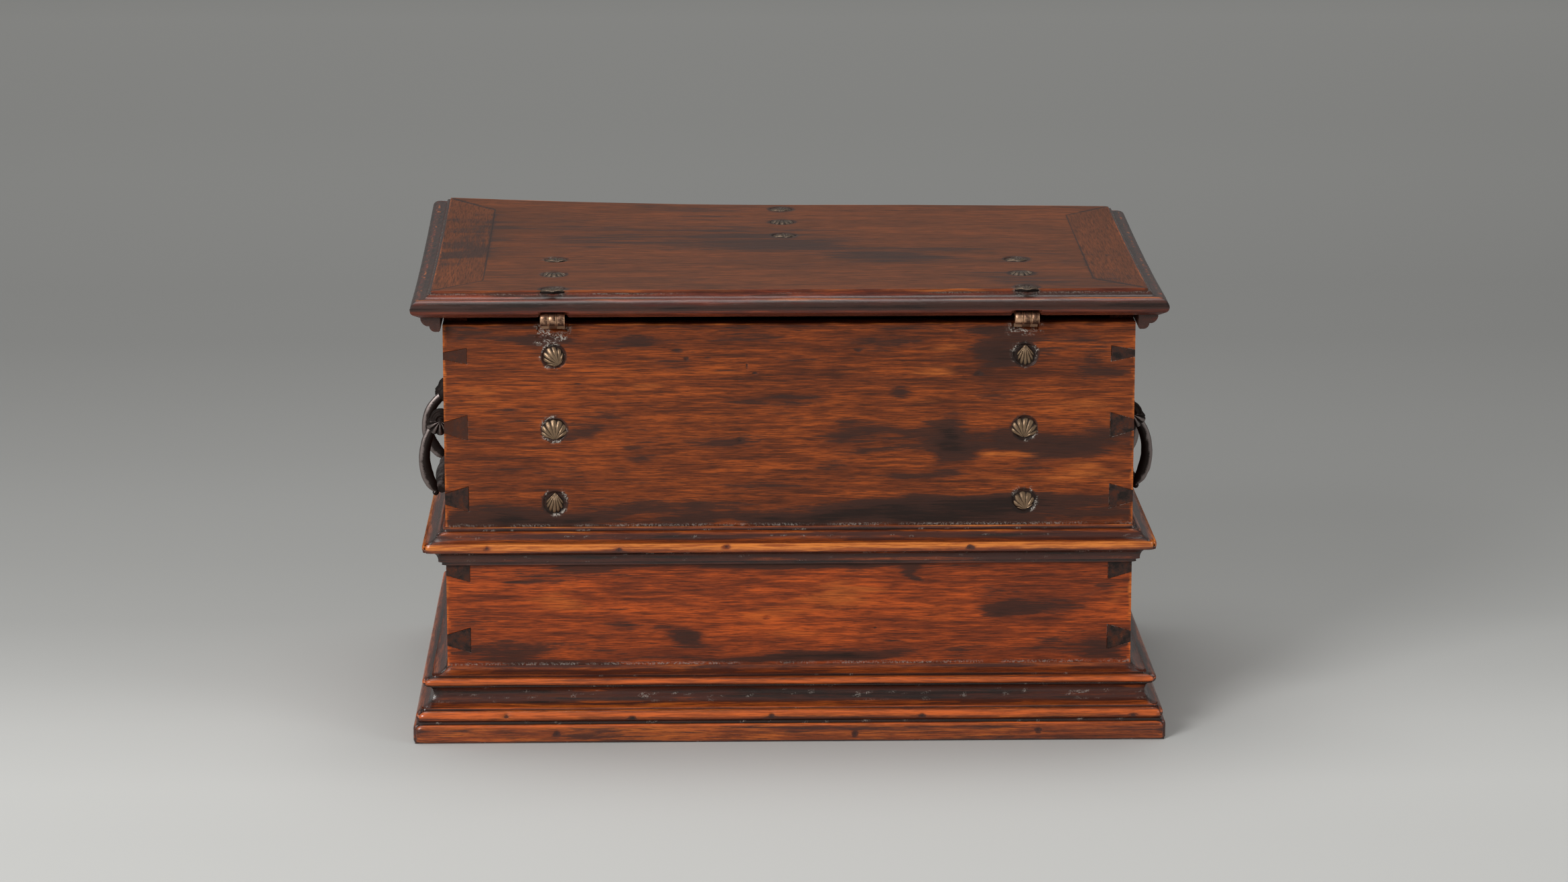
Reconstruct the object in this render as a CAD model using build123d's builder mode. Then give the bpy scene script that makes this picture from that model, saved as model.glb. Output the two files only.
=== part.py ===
# Document box of dovetailed hardwood boards: a moulded lid on two strap hinges, a drawer in the
# lower tier, a hasp lock on the front and a drop handle on each end.
# Lengths are millimetres and angles are degrees.
# The origin is the bottom centre, +Z is up, the front is at -Y and the right end is at +X.

import os
from math import cos, radians, sin, tan

from build123d import *

os.makedirs("parts", exist_ok=True)

# Carcass boards
body_width = 440.0
body_depth = 266.0
board = 15.0
back_height = 269.6
joint_gap = 0.1
seat_gap = 0.3
overrun = 1.0

# Dovetails
pin_top_drop = 20.6
pin_bottom_height = 16.5
pin_narrow = 7.0
pin_wide = 16.0
pin_scale_shares = (0.62, 1.0, 1.0, 1.0, 1.0, 1.0)

# Tiers
base_height = 46.2
waist_bottom = 113.2
waist_height = 24.5
front_reveal = 1.0
floor_thickness = 8.0
floor_lift = 1.8
groove_depth = 4.0

# Base moulding, from the table up
plinth_reach = 21.8
plinth_height = 12.0
plinth_ease = 1.3
plinth_bevel = 1.8
quirk = 0.7
torus_radius = 4.2
torus_reach = 20.2
scotia_fillet = 1.3
scotia_reach = 9.0
scotia_radius = 8.0
scotia_top_reach = 11.6
scotia_top_rise = 5.0
bead_radius = 2.6
bead_reach = 16.0
base_fillet_reach = 10.0
base_fillet = 1.0
base_cove_reach = 1.0

# Waist moulding, from its lower edge up
waist_foot_reach = 2.8
waist_foot = 2.4
waist_step_reach = 5.0
waist_step = 0.8
waist_cove_radius = 7.2
waist_nose_reach = 14.8
waist_nose_height = 5.8
waist_nose_swell = 0.7
waist_top_cove_reach = 6.2
waist_top_cove = 3.2
waist_ovolo_reach = 2.3
waist_ovolo = 2.8
waist_lip_reach = 1.8

# Lid
lid_tilt = 1.64
lid_rear_gap = 6.8
lid_thickness = 16.0
lid_arris_reach = 6.8
lid_step = 1.7
lid_ledge_reach = 8.7
lid_cove_reach = 12.8
lid_cove = 2.8
lid_nose_reach = 19.5
lid_nose_height = 6.4
lid_nose_under = 2.9
lid_nose_under_reach = 18.4
lid_foot_reach = 13.5
clamp_inset = 25.0
tongue_length = 9.0
tongue_thickness = 5.0

# Skirts under the lid's front and ends
skirt_gap = 1.0
skirt_reach = 13.3
skirt_step_reach = 9.4
skirt_step_drop = 6.2
skirt_bead_reach = 7.8
skirt_drop = 9.9
skirt_ease = 0.8
skirt_rear_reach = 10.0

# Strap hinges, one at each end of the back
hinge_inset = 70.0
hinge_reach = 12.0
hinge_drop = 1.6
barrel_radius = 4.2
barrel_length = 15.4
knuckle_gap = 0.3
barrel_pocket = 0.6
pin_radius = 1.9
running_clearance = 0.05
strap_width = 15.0
strap_thickness = 2.2
strap_notch_depth = 3.2
strap_corner = 5.0
lid_strap_tail = 8.5
back_strap_tail = 12.5

# Shell nails through the boards into the straps
nail_head_radius = 6.3
nail_recess_radius = 7.4
nail_recess = 0.9
nail_dome = 1.3
nail_shank_radius = 1.5
nail_hole_radius = 1.6
back_nail_drop = 21.1
back_nail_rise = 15.8
hinge_nail_setback = 8.5
lid_nail_pitch = 45.5
hasp_nail_setback = 20.5

# Hasp on the front of the lid
hasp_hang = 14.5
hasp_width = 18.0
hasp_thickness = 2.4
hasp_knee_drop = 20.0
hasp_neck_drop = 6.5
hasp_length = 62.0
hasp_slot_margin = 1.5
staple_thickness = 3.4
staple_radius = 7.0
staple_eye_radius = 4.2
staple_reach = 14.5
staple_drop = 46.0

# Lock let into the front board
lock_plate_side = 8.0
lock_plate_rise = 6.0
lock_plate_thickness = 1.5
lock_plate_cusp = 7.0
lock_plate_low = 4.0
lock_case_width = 62.0
lock_case_height = 42.0
lock_case_depth = 11.8
lock_case_wall = 1.2
lock_slot_width = 5.6
lock_slot_above = 11.0
lock_slot_below = 13.0
bolt_depth = 4.0
bolt_height = 6.0
bolt_end_gap = 1.2
bolt_tip = 4.6
bolt_lug_width = 5.0
bolt_lug_drop = 6.0
bolt_guide_x = (-7.3, 9.2)
bolt_guide_width = 2.5
bolt_guide_wall = 1.6
bolt_clearance = 0.2
keyhole_lug_run = 8.1
keyhole_drop = 10.0
keyhole_radius = 3.3
keyhole_slot = 3.0
keyhole_length = 8.0
lock_nail_inset = 5.0
lock_nail_radius = 2.6
lock_nail_shank = 1.0
lock_nail_length = 9.0

# Drop handles on the ends
handle_heights = {"left": 191.0, "right": 188.5}
arm_y = 43.0
arm_radius = 3.0
arm_pivot_reach = 8.0
arm_bulge_reach = 17.8
arm_bulge_drop = 24.0
arm_end_reach = 10.5
arm_end_drop = 47.0
eye_radius = 4.0
trunnion_radius = 2.0
trunnion_length = 5.5
grip_reach = 6.4
grip_drop = 45.0
grip_end_radius = 3.6
grip_radius = 6.0
tip_radius = 1.6
tip_reach = 11.8
tip_drop = 49.8
post_gap = 0.6
post_thickness = 8.0
post_dome = 2.4
post_radius = 8.3
post_reach = 6.2
post_shank_radius = 2.5
post_rivet_radius = 4.5
post_rivet = 1.5

# Drawer
drawer_side_gap = 0.5
drawer_top_gap = 0.7
drawer_back_gap = 5.0
drawer_front_thickness = 14.0
drawer_lap = 5.0
drawer_wall = 9.0
drawer_side_drop = 3.0
drawer_bottom_thickness = 5.0
drawer_bottom_lift = 3.0
drawer_groove = 3.0

# Ring pull of the drawer
pull_plate_radius = 11.0
pull_plate_thickness = 2.0
pull_eye_reach = 8.5
pull_eye_radius = 4.6
pull_eye_width = 4.0
pull_height_share = 0.62
ring_radius = 12.5
ring_wire_radius = 2.0
ring_clearance = 0.35
pull_shank_radius = 2.0
pull_rivet_radius = 4.0

# Places worked out from the sizes above
half_width = body_width / 2
half_depth = body_depth / 2
inner_x = half_width - board
inner_y = half_depth - board
waist_top = waist_bottom + waist_height
opening_top = waist_bottom - front_reveal
floor_bottom = opening_top + floor_lift
bottom_board_low = base_height - floor_thickness
hinge_run = half_depth + hinge_reach
hinge_x = half_width - hinge_inset
lock_plate_width = lock_case_width + 2 * lock_plate_side
lock_plate_height = lock_case_height + 2 * lock_plate_rise
bolt_tail = lock_case_width / 2 - lock_case_wall - bolt_end_gap
bolt_length = bolt_tail - bolt_tip
lug_x = bolt_tail - bolt_lug_width / 2
keyhole_x = lug_x - keyhole_lug_run
clamp_inner = half_width - clamp_inset
knuckle = (barrel_length - 2 * knuckle_gap) / 3
pin_top_height = back_height - pin_top_drop
pin_pitch = (pin_top_height - pin_bottom_height) / (len(pin_scale_shares) - 1)
pins = [(pin_top_height - pin_pitch * i, share) for i, share in enumerate(pin_scale_shares)]
board_pins = [pin for pin in pins if pin[0] > opening_top + pin_wide / 2]
rail_pins = [pin for pin in pins if pin[0] < base_height - pin_wide / 2]
front_pins = board_pins + rail_pins

tilt_sin = sin(radians(lid_tilt))
tilt_cos = cos(radians(lid_tilt))
lid_middle = back_height + lid_rear_gap + hinge_run * tan(radians(lid_tilt))
lid_up = Vector(0, tilt_sin, tilt_cos)
lid_forward = Vector(0, -tilt_cos, tilt_sin)
lid_plane = Plane(origin=(0, 0, lid_middle), x_dir=(1, 0, 0), z_dir=lid_up)


def lid_point(x, back, up):
    """A place on the lid: sideways, towards the back and above its underside."""
    return lid_plane.from_local_coords(Vector(x, back, up))


def rim_height(y):
    """Top of the end and front boards, just under the lid."""
    return lid_middle - y * tan(radians(lid_tilt)) - seat_gap


hinge_axis = lid_point(0, hinge_run, -hinge_drop)
hasp_axis = lid_point(0, -hinge_run, -hinge_drop)
hasp_knee = -hasp_axis.Y - half_depth - lock_plate_thickness - seat_gap - hasp_thickness / 2
bolt_y = hasp_axis.Y + staple_reach
bolt_z = hasp_axis.Z - staple_drop

walls = {
    "back": (Vector(0, 1, 0), half_depth, half_width),
    "front": (Vector(0, -1, 0), half_depth, half_width),
    "left": (Vector(-1, 0, 0), half_width, half_depth),
    "right": (Vector(1, 0, 0), half_width, half_depth),
}
ends = {"left": -1, "right": 1}


def write(piece, name):
    """Label one finished piece and save it."""
    piece.part.label = name
    export_step(piece.part, f"parts/{name}.step")


def wall_start(side):
    """Lower X of an end board."""
    return side * (half_width + inner_x) / 2 - board / 2


def pin_outlines(which, gap, reach):
    """Dovetail pins seen on the back or front face, a gap larger and reaching past the end."""
    for height, share in which:
        for side in ends.values():
            flare = share * (pin_wide - pin_narrow) / 2 / board
            tip = share * pin_narrow / 2 - flare * reach + gap
            root = share * pin_wide / 2 + flare * gap + gap
            outer = side * (half_width + reach)
            inner = side * (inner_x - gap)
            Polygon(
                (outer, height - tip),
                (outer, height + tip),
                (inner, height + root),
                (inner, height - root),
                align=None,
            )


def mitred_outline(outward, wall, half_run, reach):
    """Plan of one length of moulding, cut at 45 degrees at both corners."""
    along = outward.cross(Vector(0, 0, 1))
    near = outward * wall
    far = outward * (wall + reach)
    corners = [
        near - along * half_run,
        near + along * half_run,
        far + along * (half_run + reach),
        far - along * (half_run + reach),
    ]
    Polygon(*[(corner.X, corner.Y) for corner in corners], align=None)


def nail(head, outward, length, radius, shank, seat, dome):
    """A round-headed nail whose head is seated in the surface at the place given."""
    across = Vector(1, 0, 0)
    with BuildSketch(Plane(origin=head, x_dir=across, z_dir=across.cross(outward))) as outline:
        with BuildLine():
            Polyline((0, dome), (0, -length), (shank, -length), (shank, -seat), (radius, -seat))
            TangentArc((0, dome), (radius, -seat), tangent=(1, 0))
        make_face()
    revolve(outline.sketch, axis=Axis(head, outward))


def base_section():
    """Section of the base moulding: reach from the wall, and height above the table."""
    torus_low = plinth_height + quirk
    torus_middle = torus_reach - torus_radius
    torus_top = torus_low + 2 * torus_radius
    fillet_top = torus_top + scotia_fillet
    neck = fillet_top + scotia_radius
    scotia_start = scotia_reach + scotia_radius
    scotia_top = neck + scotia_top_rise
    bead_low = scotia_top + quirk
    bead_middle = bead_reach - bead_radius
    bead_top = bead_low + 2 * bead_radius
    cove_low = bead_top + base_fillet
    diagonal = 1 - cos(radians(45))
    with BuildSketch() as section:
        with BuildLine():
            Polyline(
                (0, 0),
                (plinth_reach - plinth_ease, 0),
                (plinth_reach, plinth_ease),
                (plinth_reach, plinth_height - plinth_bevel),
                (plinth_reach - plinth_bevel, plinth_height),
                (torus_middle, plinth_height),
                (torus_middle, torus_low),
            )
            ThreePointArc(
                (torus_middle, torus_low),
                (torus_reach, torus_low + torus_radius),
                (torus_middle, torus_top),
            )
            Polyline((torus_middle, torus_top), (scotia_start, torus_top), (scotia_start, fillet_top))
            ThreePointArc(
                (scotia_start, fillet_top),
                (scotia_reach + scotia_radius * diagonal, fillet_top + scotia_radius * diagonal),
                (scotia_reach, neck),
            )
            ThreePointArc(
                (scotia_reach, neck),
                (scotia_reach + (scotia_top_reach - scotia_reach) * diagonal, neck + scotia_top_rise / 2),
                (scotia_top_reach, scotia_top),
            )
            Polyline(
                (scotia_top_reach, scotia_top),
                (bead_middle, scotia_top),
                (bead_middle, bead_low),
            )
            ThreePointArc(
                (bead_middle, bead_low),
                (bead_reach, bead_low + bead_radius),
                (bead_middle, bead_top),
            )
            Polyline(
                (bead_middle, bead_top),
                (base_fillet_reach, bead_top),
                (base_fillet_reach, cove_low),
            )
            ThreePointArc(
                (base_fillet_reach, cove_low),
                (
                    base_cove_reach + (base_fillet_reach - base_cove_reach) * diagonal,
                    cove_low + (base_height - cove_low) * diagonal,
                ),
                (base_cove_reach, base_height),
            )
            Polyline((base_cove_reach, base_height), (0, base_height), (0, 0))
        make_face()
    return section.sketch


def waist_section():
    """Section of the waist moulding: reach from the wall, and height above the table."""
    foot_top = waist_bottom + waist_foot
    step_top = foot_top + waist_step
    nose_low = step_top + waist_cove_radius
    nose_top = nose_low + waist_nose_height
    cove_end = waist_step_reach + waist_cove_radius
    nose_edge = waist_nose_reach - waist_nose_swell
    cove_top = nose_top + waist_top_cove
    ovolo_top = cove_top + waist_ovolo
    diagonal = 1 - cos(radians(45))
    with BuildSketch() as section:
        with BuildLine():
            Polyline(
                (0, waist_bottom),
                (waist_foot_reach, waist_bottom),
                (waist_foot_reach, foot_top),
                (waist_step_reach, foot_top),
                (waist_step_reach, step_top),
            )
            ThreePointArc(
                (waist_step_reach, step_top),
                (
                    waist_step_reach + waist_cove_radius * diagonal,
                    nose_low - waist_cove_radius * diagonal,
                ),
                (cove_end, nose_low),
            )
            Line((cove_end, nose_low), (nose_edge, nose_low))
            ThreePointArc(
                (nose_edge, nose_low),
                (waist_nose_reach, (nose_low + nose_top) / 2),
                (nose_edge, nose_top),
            )
            ThreePointArc(
                (nose_edge, nose_top),
                (
                    waist_top_cove_reach + (nose_edge - waist_top_cove_reach) * diagonal,
                    nose_top + waist_top_cove * diagonal,
                ),
                (waist_top_cove_reach, cove_top),
            )
            ThreePointArc(
                (waist_top_cove_reach, cove_top),
                (
                    waist_top_cove_reach - (waist_top_cove_reach - waist_ovolo_reach) * diagonal,
                    ovolo_top - waist_ovolo * diagonal,
                ),
                (waist_ovolo_reach, ovolo_top),
            )
            Polyline(
                (waist_ovolo_reach, ovolo_top),
                (waist_lip_reach, ovolo_top),
                (waist_lip_reach, waist_top),
                (0, waist_top),
                (0, waist_bottom),
            )
        make_face()
    return section.sketch


def lid_section(half):
    """Section of the whole lid across its width or depth, measured up from its underside."""
    arris = half + lid_arris_reach
    ledge = half + lid_ledge_reach
    ledge_height = lid_thickness - lid_step
    shoulder = half + lid_cove_reach
    shoulder_height = ledge_height - lid_cove
    nose = half + lid_nose_reach
    under = half + lid_nose_under_reach
    diagonal = cos(radians(45))
    with BuildSketch() as section:
        with BuildLine():
            Polyline(
                (0, lid_thickness),
                (arris, lid_thickness),
                (arris, ledge_height),
                (ledge, ledge_height),
            )
            ThreePointArc(
                (ledge, ledge_height),
                (
                    shoulder - (shoulder - ledge) * diagonal,
                    shoulder_height + lid_cove * (1 - diagonal),
                ),
                (shoulder, shoulder_height),
            )
            ThreePointArc(
                (shoulder, shoulder_height),
                (
                    shoulder + (nose - shoulder) * diagonal,
                    lid_nose_height + (shoulder_height - lid_nose_height) * diagonal,
                ),
                (nose, lid_nose_height),
            )
            ThreePointArc(
                (nose, lid_nose_height),
                (nose - (nose - under) * (1 - diagonal), (lid_nose_height + lid_nose_under) / 2),
                (under, lid_nose_under),
            )
            Polyline((under, lid_nose_under), (half + lid_foot_reach, 0), (0, 0))
            mirror(about=Plane.YZ)
        make_face()
    return section.sketch


def skirt_section():
    """Section of the small moulding under the lid: reach from the wall, and height."""
    diagonal = cos(radians(45))
    with BuildSketch() as section:
        with BuildLine():
            Line((skirt_gap, 0), (skirt_reach, 0))
            ThreePointArc(
                (skirt_reach, 0),
                (
                    skirt_reach - (skirt_reach - skirt_step_reach) * (1 - diagonal),
                    -skirt_step_drop * diagonal,
                ),
                (skirt_step_reach, -skirt_step_drop),
            )
            Line((skirt_step_reach, -skirt_step_drop), (skirt_bead_reach, -skirt_step_drop))
            ThreePointArc(
                (skirt_bead_reach, -skirt_step_drop),
                (
                    skirt_bead_reach - (skirt_bead_reach / 2) * (1 - diagonal),
                    -skirt_step_drop - (skirt_drop - skirt_step_drop) * diagonal,
                ),
                (skirt_bead_reach / 2, -skirt_drop),
            )
            Polyline(
                (skirt_bead_reach / 2, -skirt_drop),
                (skirt_gap + skirt_ease, -skirt_drop),
                (skirt_gap, -skirt_drop + skirt_ease),
                (skirt_gap, 0),
            )
        make_face()
    return section.sketch


def tongue_grooves(piece_gap):
    """Grooves for the compartment floor and the bottom board in the four walls."""
    for low in (floor_bottom, bottom_board_low):
        with Locations((0, 0, low + floor_thickness / 2)):
            Box(
                2 * (inner_x + groove_depth + piece_gap),
                2 * inner_y,
                floor_thickness + 2 * piece_gap,
                mode=Mode.SUBTRACT,
            )
            Box(
                2 * inner_x,
                2 * (inner_y + groove_depth + piece_gap),
                floor_thickness + 2 * piece_gap,
                mode=Mode.SUBTRACT,
            )


# Back board, with tails at both ends, notches for the straps and shell-nail recesses
back_nail_top = back_height - back_nail_drop
back_nail_low = waist_top + back_nail_rise
back_nail_heights = [back_nail_top, (back_nail_top + back_nail_low) / 2, back_nail_low]
back_strap_end = back_nail_heights[-1] - back_strap_tail
with BuildPart() as back_board:
    with BuildSketch(Plane.XZ.offset(-half_depth)):
        with Locations((0, back_height / 2)):
            Rectangle(body_width, back_height)
    extrude(amount=board)
    with BuildSketch(Plane.XZ.offset(-half_depth - overrun)):
        pin_outlines(pins, joint_gap, overrun)
    extrude(amount=board + 2 * overrun, mode=Mode.SUBTRACT)
    tongue_grooves(joint_gap)
    for side in ends.values():
        with Locations((side * hinge_x, half_depth - board / 2, back_height)):
            Box(
                strap_width + 2 * joint_gap,
                board + 2 * overrun,
                2 * strap_notch_depth,
                mode=Mode.SUBTRACT,
            )
        nail_places = [(side * hinge_x, height) for height in back_nail_heights]
        with BuildSketch(Plane.XZ.offset(-half_depth)):
            with Locations(*nail_places):
                Circle(nail_recess_radius)
        extrude(amount=nail_recess, mode=Mode.SUBTRACT)
        with BuildSketch(Plane.XZ.offset(-half_depth)):
            with Locations(*nail_places):
                Circle(nail_hole_radius)
        extrude(amount=board, mode=Mode.SUBTRACT)
write(back_board, "back_board")

# End boards, with pins at both ends, and a full front edge beside the drawer
for name, side in ends.items():
    with BuildPart() as side_board:
        with BuildSketch(Plane.YZ.offset(wall_start(side))):
            Polygon(
                (-inner_y, 0),
                (inner_y, 0),
                (inner_y, rim_height(inner_y)),
                (-inner_y, rim_height(-inner_y)),
                align=None,
            )
            with Locations((-inner_y - board / 2, (base_height + opening_top) / 2)):
                Rectangle(board, opening_top - base_height)
        extrude(amount=board)
        for which, start in ((pins, -half_depth), (front_pins, inner_y)):
            with BuildSketch(Plane.XZ.offset(start)):
                pin_outlines(which, 0, 0)
            extrude(amount=board)
        with BuildSketch(Plane.YZ.offset(wall_start(side))):
            with Locations((0, back_height / 2)):
                Rectangle(body_depth, 2 * back_height)
        extrude(amount=board, mode=Mode.INTERSECT)
        tongue_grooves(joint_gap)
        with BuildSketch(Plane.YZ.offset(wall_start(side) - overrun)):
            post_y = arm_y + arm_radius + post_gap + post_thickness / 2
            with Locations((-post_y, handle_heights[name]), (post_y, handle_heights[name])):
                Circle(post_shank_radius + joint_gap)
        extrude(amount=board + 2 * overrun, mode=Mode.SUBTRACT)
    write(side_board, f"side_board_{name}")

# Front board above the drawer, with the lock's pocket and the hasp strap's notch
lock_plate_middle = bolt_z - lock_plate_low
lock_nail_places = [
    (x * (lock_plate_width / 2 - lock_nail_inset), lock_plate_middle + z * lock_plate_height / 4)
    for x in (-1, 1)
    for z in (-1, 1)
]
pocket_width = lock_case_width + 2 * joint_gap
pocket_height = lock_case_height + 2 * joint_gap
with BuildPart() as front_board:
    with BuildSketch(Plane.YZ.offset(-half_width)):
        Polygon(
            (-half_depth, opening_top),
            (-inner_y, opening_top),
            (-inner_y, rim_height(-inner_y)),
            (-half_depth, rim_height(-half_depth)),
            align=None,
        )
    extrude(amount=body_width)
    with BuildSketch(Plane.XZ.offset(inner_y - overrun)):
        pin_outlines(front_pins, joint_gap, overrun)
    extrude(amount=board + 2 * overrun, mode=Mode.SUBTRACT)
    tongue_grooves(joint_gap)
    with BuildSketch(Plane.XZ.offset(half_depth)):
        with Locations((0, bolt_z)):
            Rectangle(pocket_width, pocket_height)
    extrude(amount=-lock_case_depth - joint_gap, mode=Mode.SUBTRACT)
    with BuildSketch(Plane.XZ.offset(half_depth)):
        with Locations(*lock_nail_places):
            Circle(lock_nail_shank + joint_gap)
    extrude(amount=-lock_nail_length, mode=Mode.SUBTRACT)
    notch_floor = rim_height(-inner_y) - strap_thickness - seat_gap
    with Locations((0, -half_depth + board / 2, notch_floor + board / 2)):
        Box(strap_width + 2 * seat_gap, board + 2 * overrun, board, mode=Mode.SUBTRACT)
write(front_board, "front_board")

# Front rail under the drawer, behind the base moulding
with BuildPart() as front_rail:
    with Locations((0, -half_depth + board / 2, base_height / 2)):
        Box(body_width, board, base_height)
    with BuildSketch(Plane.XZ.offset(inner_y - overrun)):
        pin_outlines(front_pins, joint_gap, overrun)
    extrude(amount=board + 2 * overrun, mode=Mode.SUBTRACT)
    tongue_grooves(joint_gap)
write(front_rail, "front_rail")

# Boards let into the walls: the floor of the compartment and the bottom under the drawer
for name, low in (("compartment_floor", floor_bottom), ("bottom_board", bottom_board_low)):
    with BuildPart() as inner_board:
        with BuildSketch(Plane.XY.offset(low)):
            Rectangle(2 * (inner_x + groove_depth), 2 * (inner_y - joint_gap))
            Rectangle(2 * (inner_x - joint_gap), 2 * (inner_y + groove_depth))
        extrude(amount=floor_thickness)
    write(inner_board, name)

# Base and waist mouldings, mitred round the carcass
for name, (outward, wall, half_run) in walls.items():
    section_plane = Plane(origin=outward * wall, x_dir=outward, z_dir=outward.cross(Vector(0, 0, 1)))
    with BuildPart() as base_moulding:
        with BuildSketch(section_plane):
            add(base_section())
        extrude(amount=half_run + plinth_reach, both=True)
        with BuildSketch(Plane.XY):
            mitred_outline(outward, wall, half_run, plinth_reach)
        extrude(amount=base_height, both=True, mode=Mode.INTERSECT)
    write(base_moulding, f"base_moulding_{name}")
    with BuildPart() as waist_moulding:
        with BuildSketch(section_plane):
            add(waist_section())
        extrude(amount=half_run + waist_nose_reach, both=True)
        with BuildSketch(Plane.XY):
            mitred_outline(outward, wall, half_run, waist_nose_reach)
        extrude(amount=waist_top, both=True, mode=Mode.INTERSECT)
    write(waist_moulding, f"waist_moulding_{name}")

# Lid: a panel with moulded front and back edges between two mitred end clamps
lid_half_width = half_width + lid_nose_reach
lid_half_depth = half_depth + lid_nose_reach
mitre_back = lid_half_depth - (lid_half_width - clamp_inner)
panel_corners = [
    (clamp_inner, mitre_back),
    (lid_half_width, lid_half_depth),
    (-lid_half_width, lid_half_depth),
    (-clamp_inner, mitre_back),
    (-clamp_inner, -mitre_back),
    (-lid_half_width, -lid_half_depth),
    (lid_half_width, -lid_half_depth),
    (clamp_inner, -mitre_back),
]
tongue_low = (lid_thickness - tongue_thickness) / 2
across_plane = Plane(origin=(0, 0, lid_middle), x_dir=(1, 0, 0), z_dir=lid_forward)
along_plane = Plane(origin=(0, 0, lid_middle), x_dir=lid_forward, z_dir=(-1, 0, 0))
hinge_nail_backs = [hinge_run - hinge_nail_setback - lid_nail_pitch * i for i in range(3)]
front_nail_backs = [hasp_nail_setback + lid_nail_pitch * i - hinge_run for i in range(3)]
lid_nail_places = [(side * hinge_x, back) for side in ends.values() for back in hinge_nail_backs]
lid_nail_places += [(0, back) for back in front_nail_backs]
barrels = [(-hinge_x, hinge_axis), (hinge_x, hinge_axis), (0, hasp_axis)]
with BuildPart() as lid_panel:
    with BuildSketch(along_plane):
        add(lid_section(half_depth))
    extrude(amount=lid_half_width, both=True)
    with BuildSketch(lid_plane):
        Polygon(*panel_corners, align=None)
    extrude(amount=lid_thickness, both=True, mode=Mode.INTERSECT)
    with BuildSketch(lid_plane.offset(tongue_low)):
        Rectangle(2 * (clamp_inner + tongue_length), 2 * mitre_back)
    extrude(amount=tongue_thickness)
    with BuildSketch(lid_plane.offset(lid_thickness)):
        with Locations(*lid_nail_places):
            Circle(nail_recess_radius)
    extrude(amount=-nail_recess, mode=Mode.SUBTRACT)
    with BuildSketch(lid_plane):
        with Locations(*lid_nail_places):
            Circle(nail_hole_radius)
    extrude(amount=lid_thickness, mode=Mode.SUBTRACT)
    for x, axis_point in barrels:
        with BuildSketch(Plane.YZ.offset(x - barrel_length / 2 - barrel_pocket)):
            with Locations((axis_point.Y, axis_point.Z)):
                Circle(barrel_radius + barrel_pocket)
        extrude(amount=barrel_length + 2 * barrel_pocket, mode=Mode.SUBTRACT)
write(lid_panel, "lid_panel")

for name, side in ends.items():
    with BuildPart() as lid_clamp:
        with BuildSketch(across_plane):
            add(lid_section(half_width))
        extrude(amount=lid_half_depth, both=True)
        with BuildSketch(lid_plane):
            Polygon(
                (side * clamp_inner, mitre_back),
                (side * lid_half_width, lid_half_depth),
                (side * lid_half_width, -lid_half_depth),
                (side * clamp_inner, -mitre_back),
                align=None,
            )
        extrude(amount=lid_thickness, both=True, mode=Mode.INTERSECT)
        with BuildSketch(lid_plane.offset(tongue_low - joint_gap)):
            Rectangle(2 * (clamp_inner + tongue_length + joint_gap), 2 * (mitre_back + joint_gap))
        extrude(amount=tongue_thickness + 2 * joint_gap, mode=Mode.SUBTRACT)
    write(lid_clamp, f"lid_clamp_{name}")

# Skirts glued under the lid, mitred at the front corners and cut square at the back
for name, side in ends.items():
    with BuildPart() as lid_skirt:
        skirt_origin = lid_point(side * half_width, 0, 0)
        with BuildSketch(Plane(origin=skirt_origin, x_dir=(side, 0, 0), z_dir=lid_forward * side)):
            add(skirt_section())
        extrude(amount=lid_half_depth, both=True)
        with BuildSketch(lid_plane):
            Polygon(
                (side * half_width, half_depth + skirt_rear_reach),
                (side * (half_width + skirt_reach), half_depth + skirt_rear_reach),
                (side * (half_width + skirt_reach), -half_depth - skirt_reach),
                (side * half_width, -half_depth),
                align=None,
            )
        extrude(amount=skirt_drop, both=True, mode=Mode.INTERSECT)
    write(lid_skirt, f"lid_skirt_{name}")

with BuildPart() as lid_skirt_front:
    skirt_origin = lid_point(0, -half_depth, 0)
    with BuildSketch(Plane(origin=skirt_origin, x_dir=lid_forward, z_dir=(-1, 0, 0))):
        add(skirt_section())
    extrude(amount=lid_half_width, both=True)
    with BuildSketch(lid_plane):
        mitred_outline(Vector(0, -1, 0), half_depth, half_width, skirt_reach)
        with Locations((0, -half_depth - skirt_reach / 2)):
            Rectangle(hasp_width + 2 * hasp_slot_margin, 2 * skirt_reach, mode=Mode.SUBTRACT)
    extrude(amount=skirt_drop, both=True, mode=Mode.INTERSECT)
write(lid_skirt_front, "lid_skirt_front")

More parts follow.
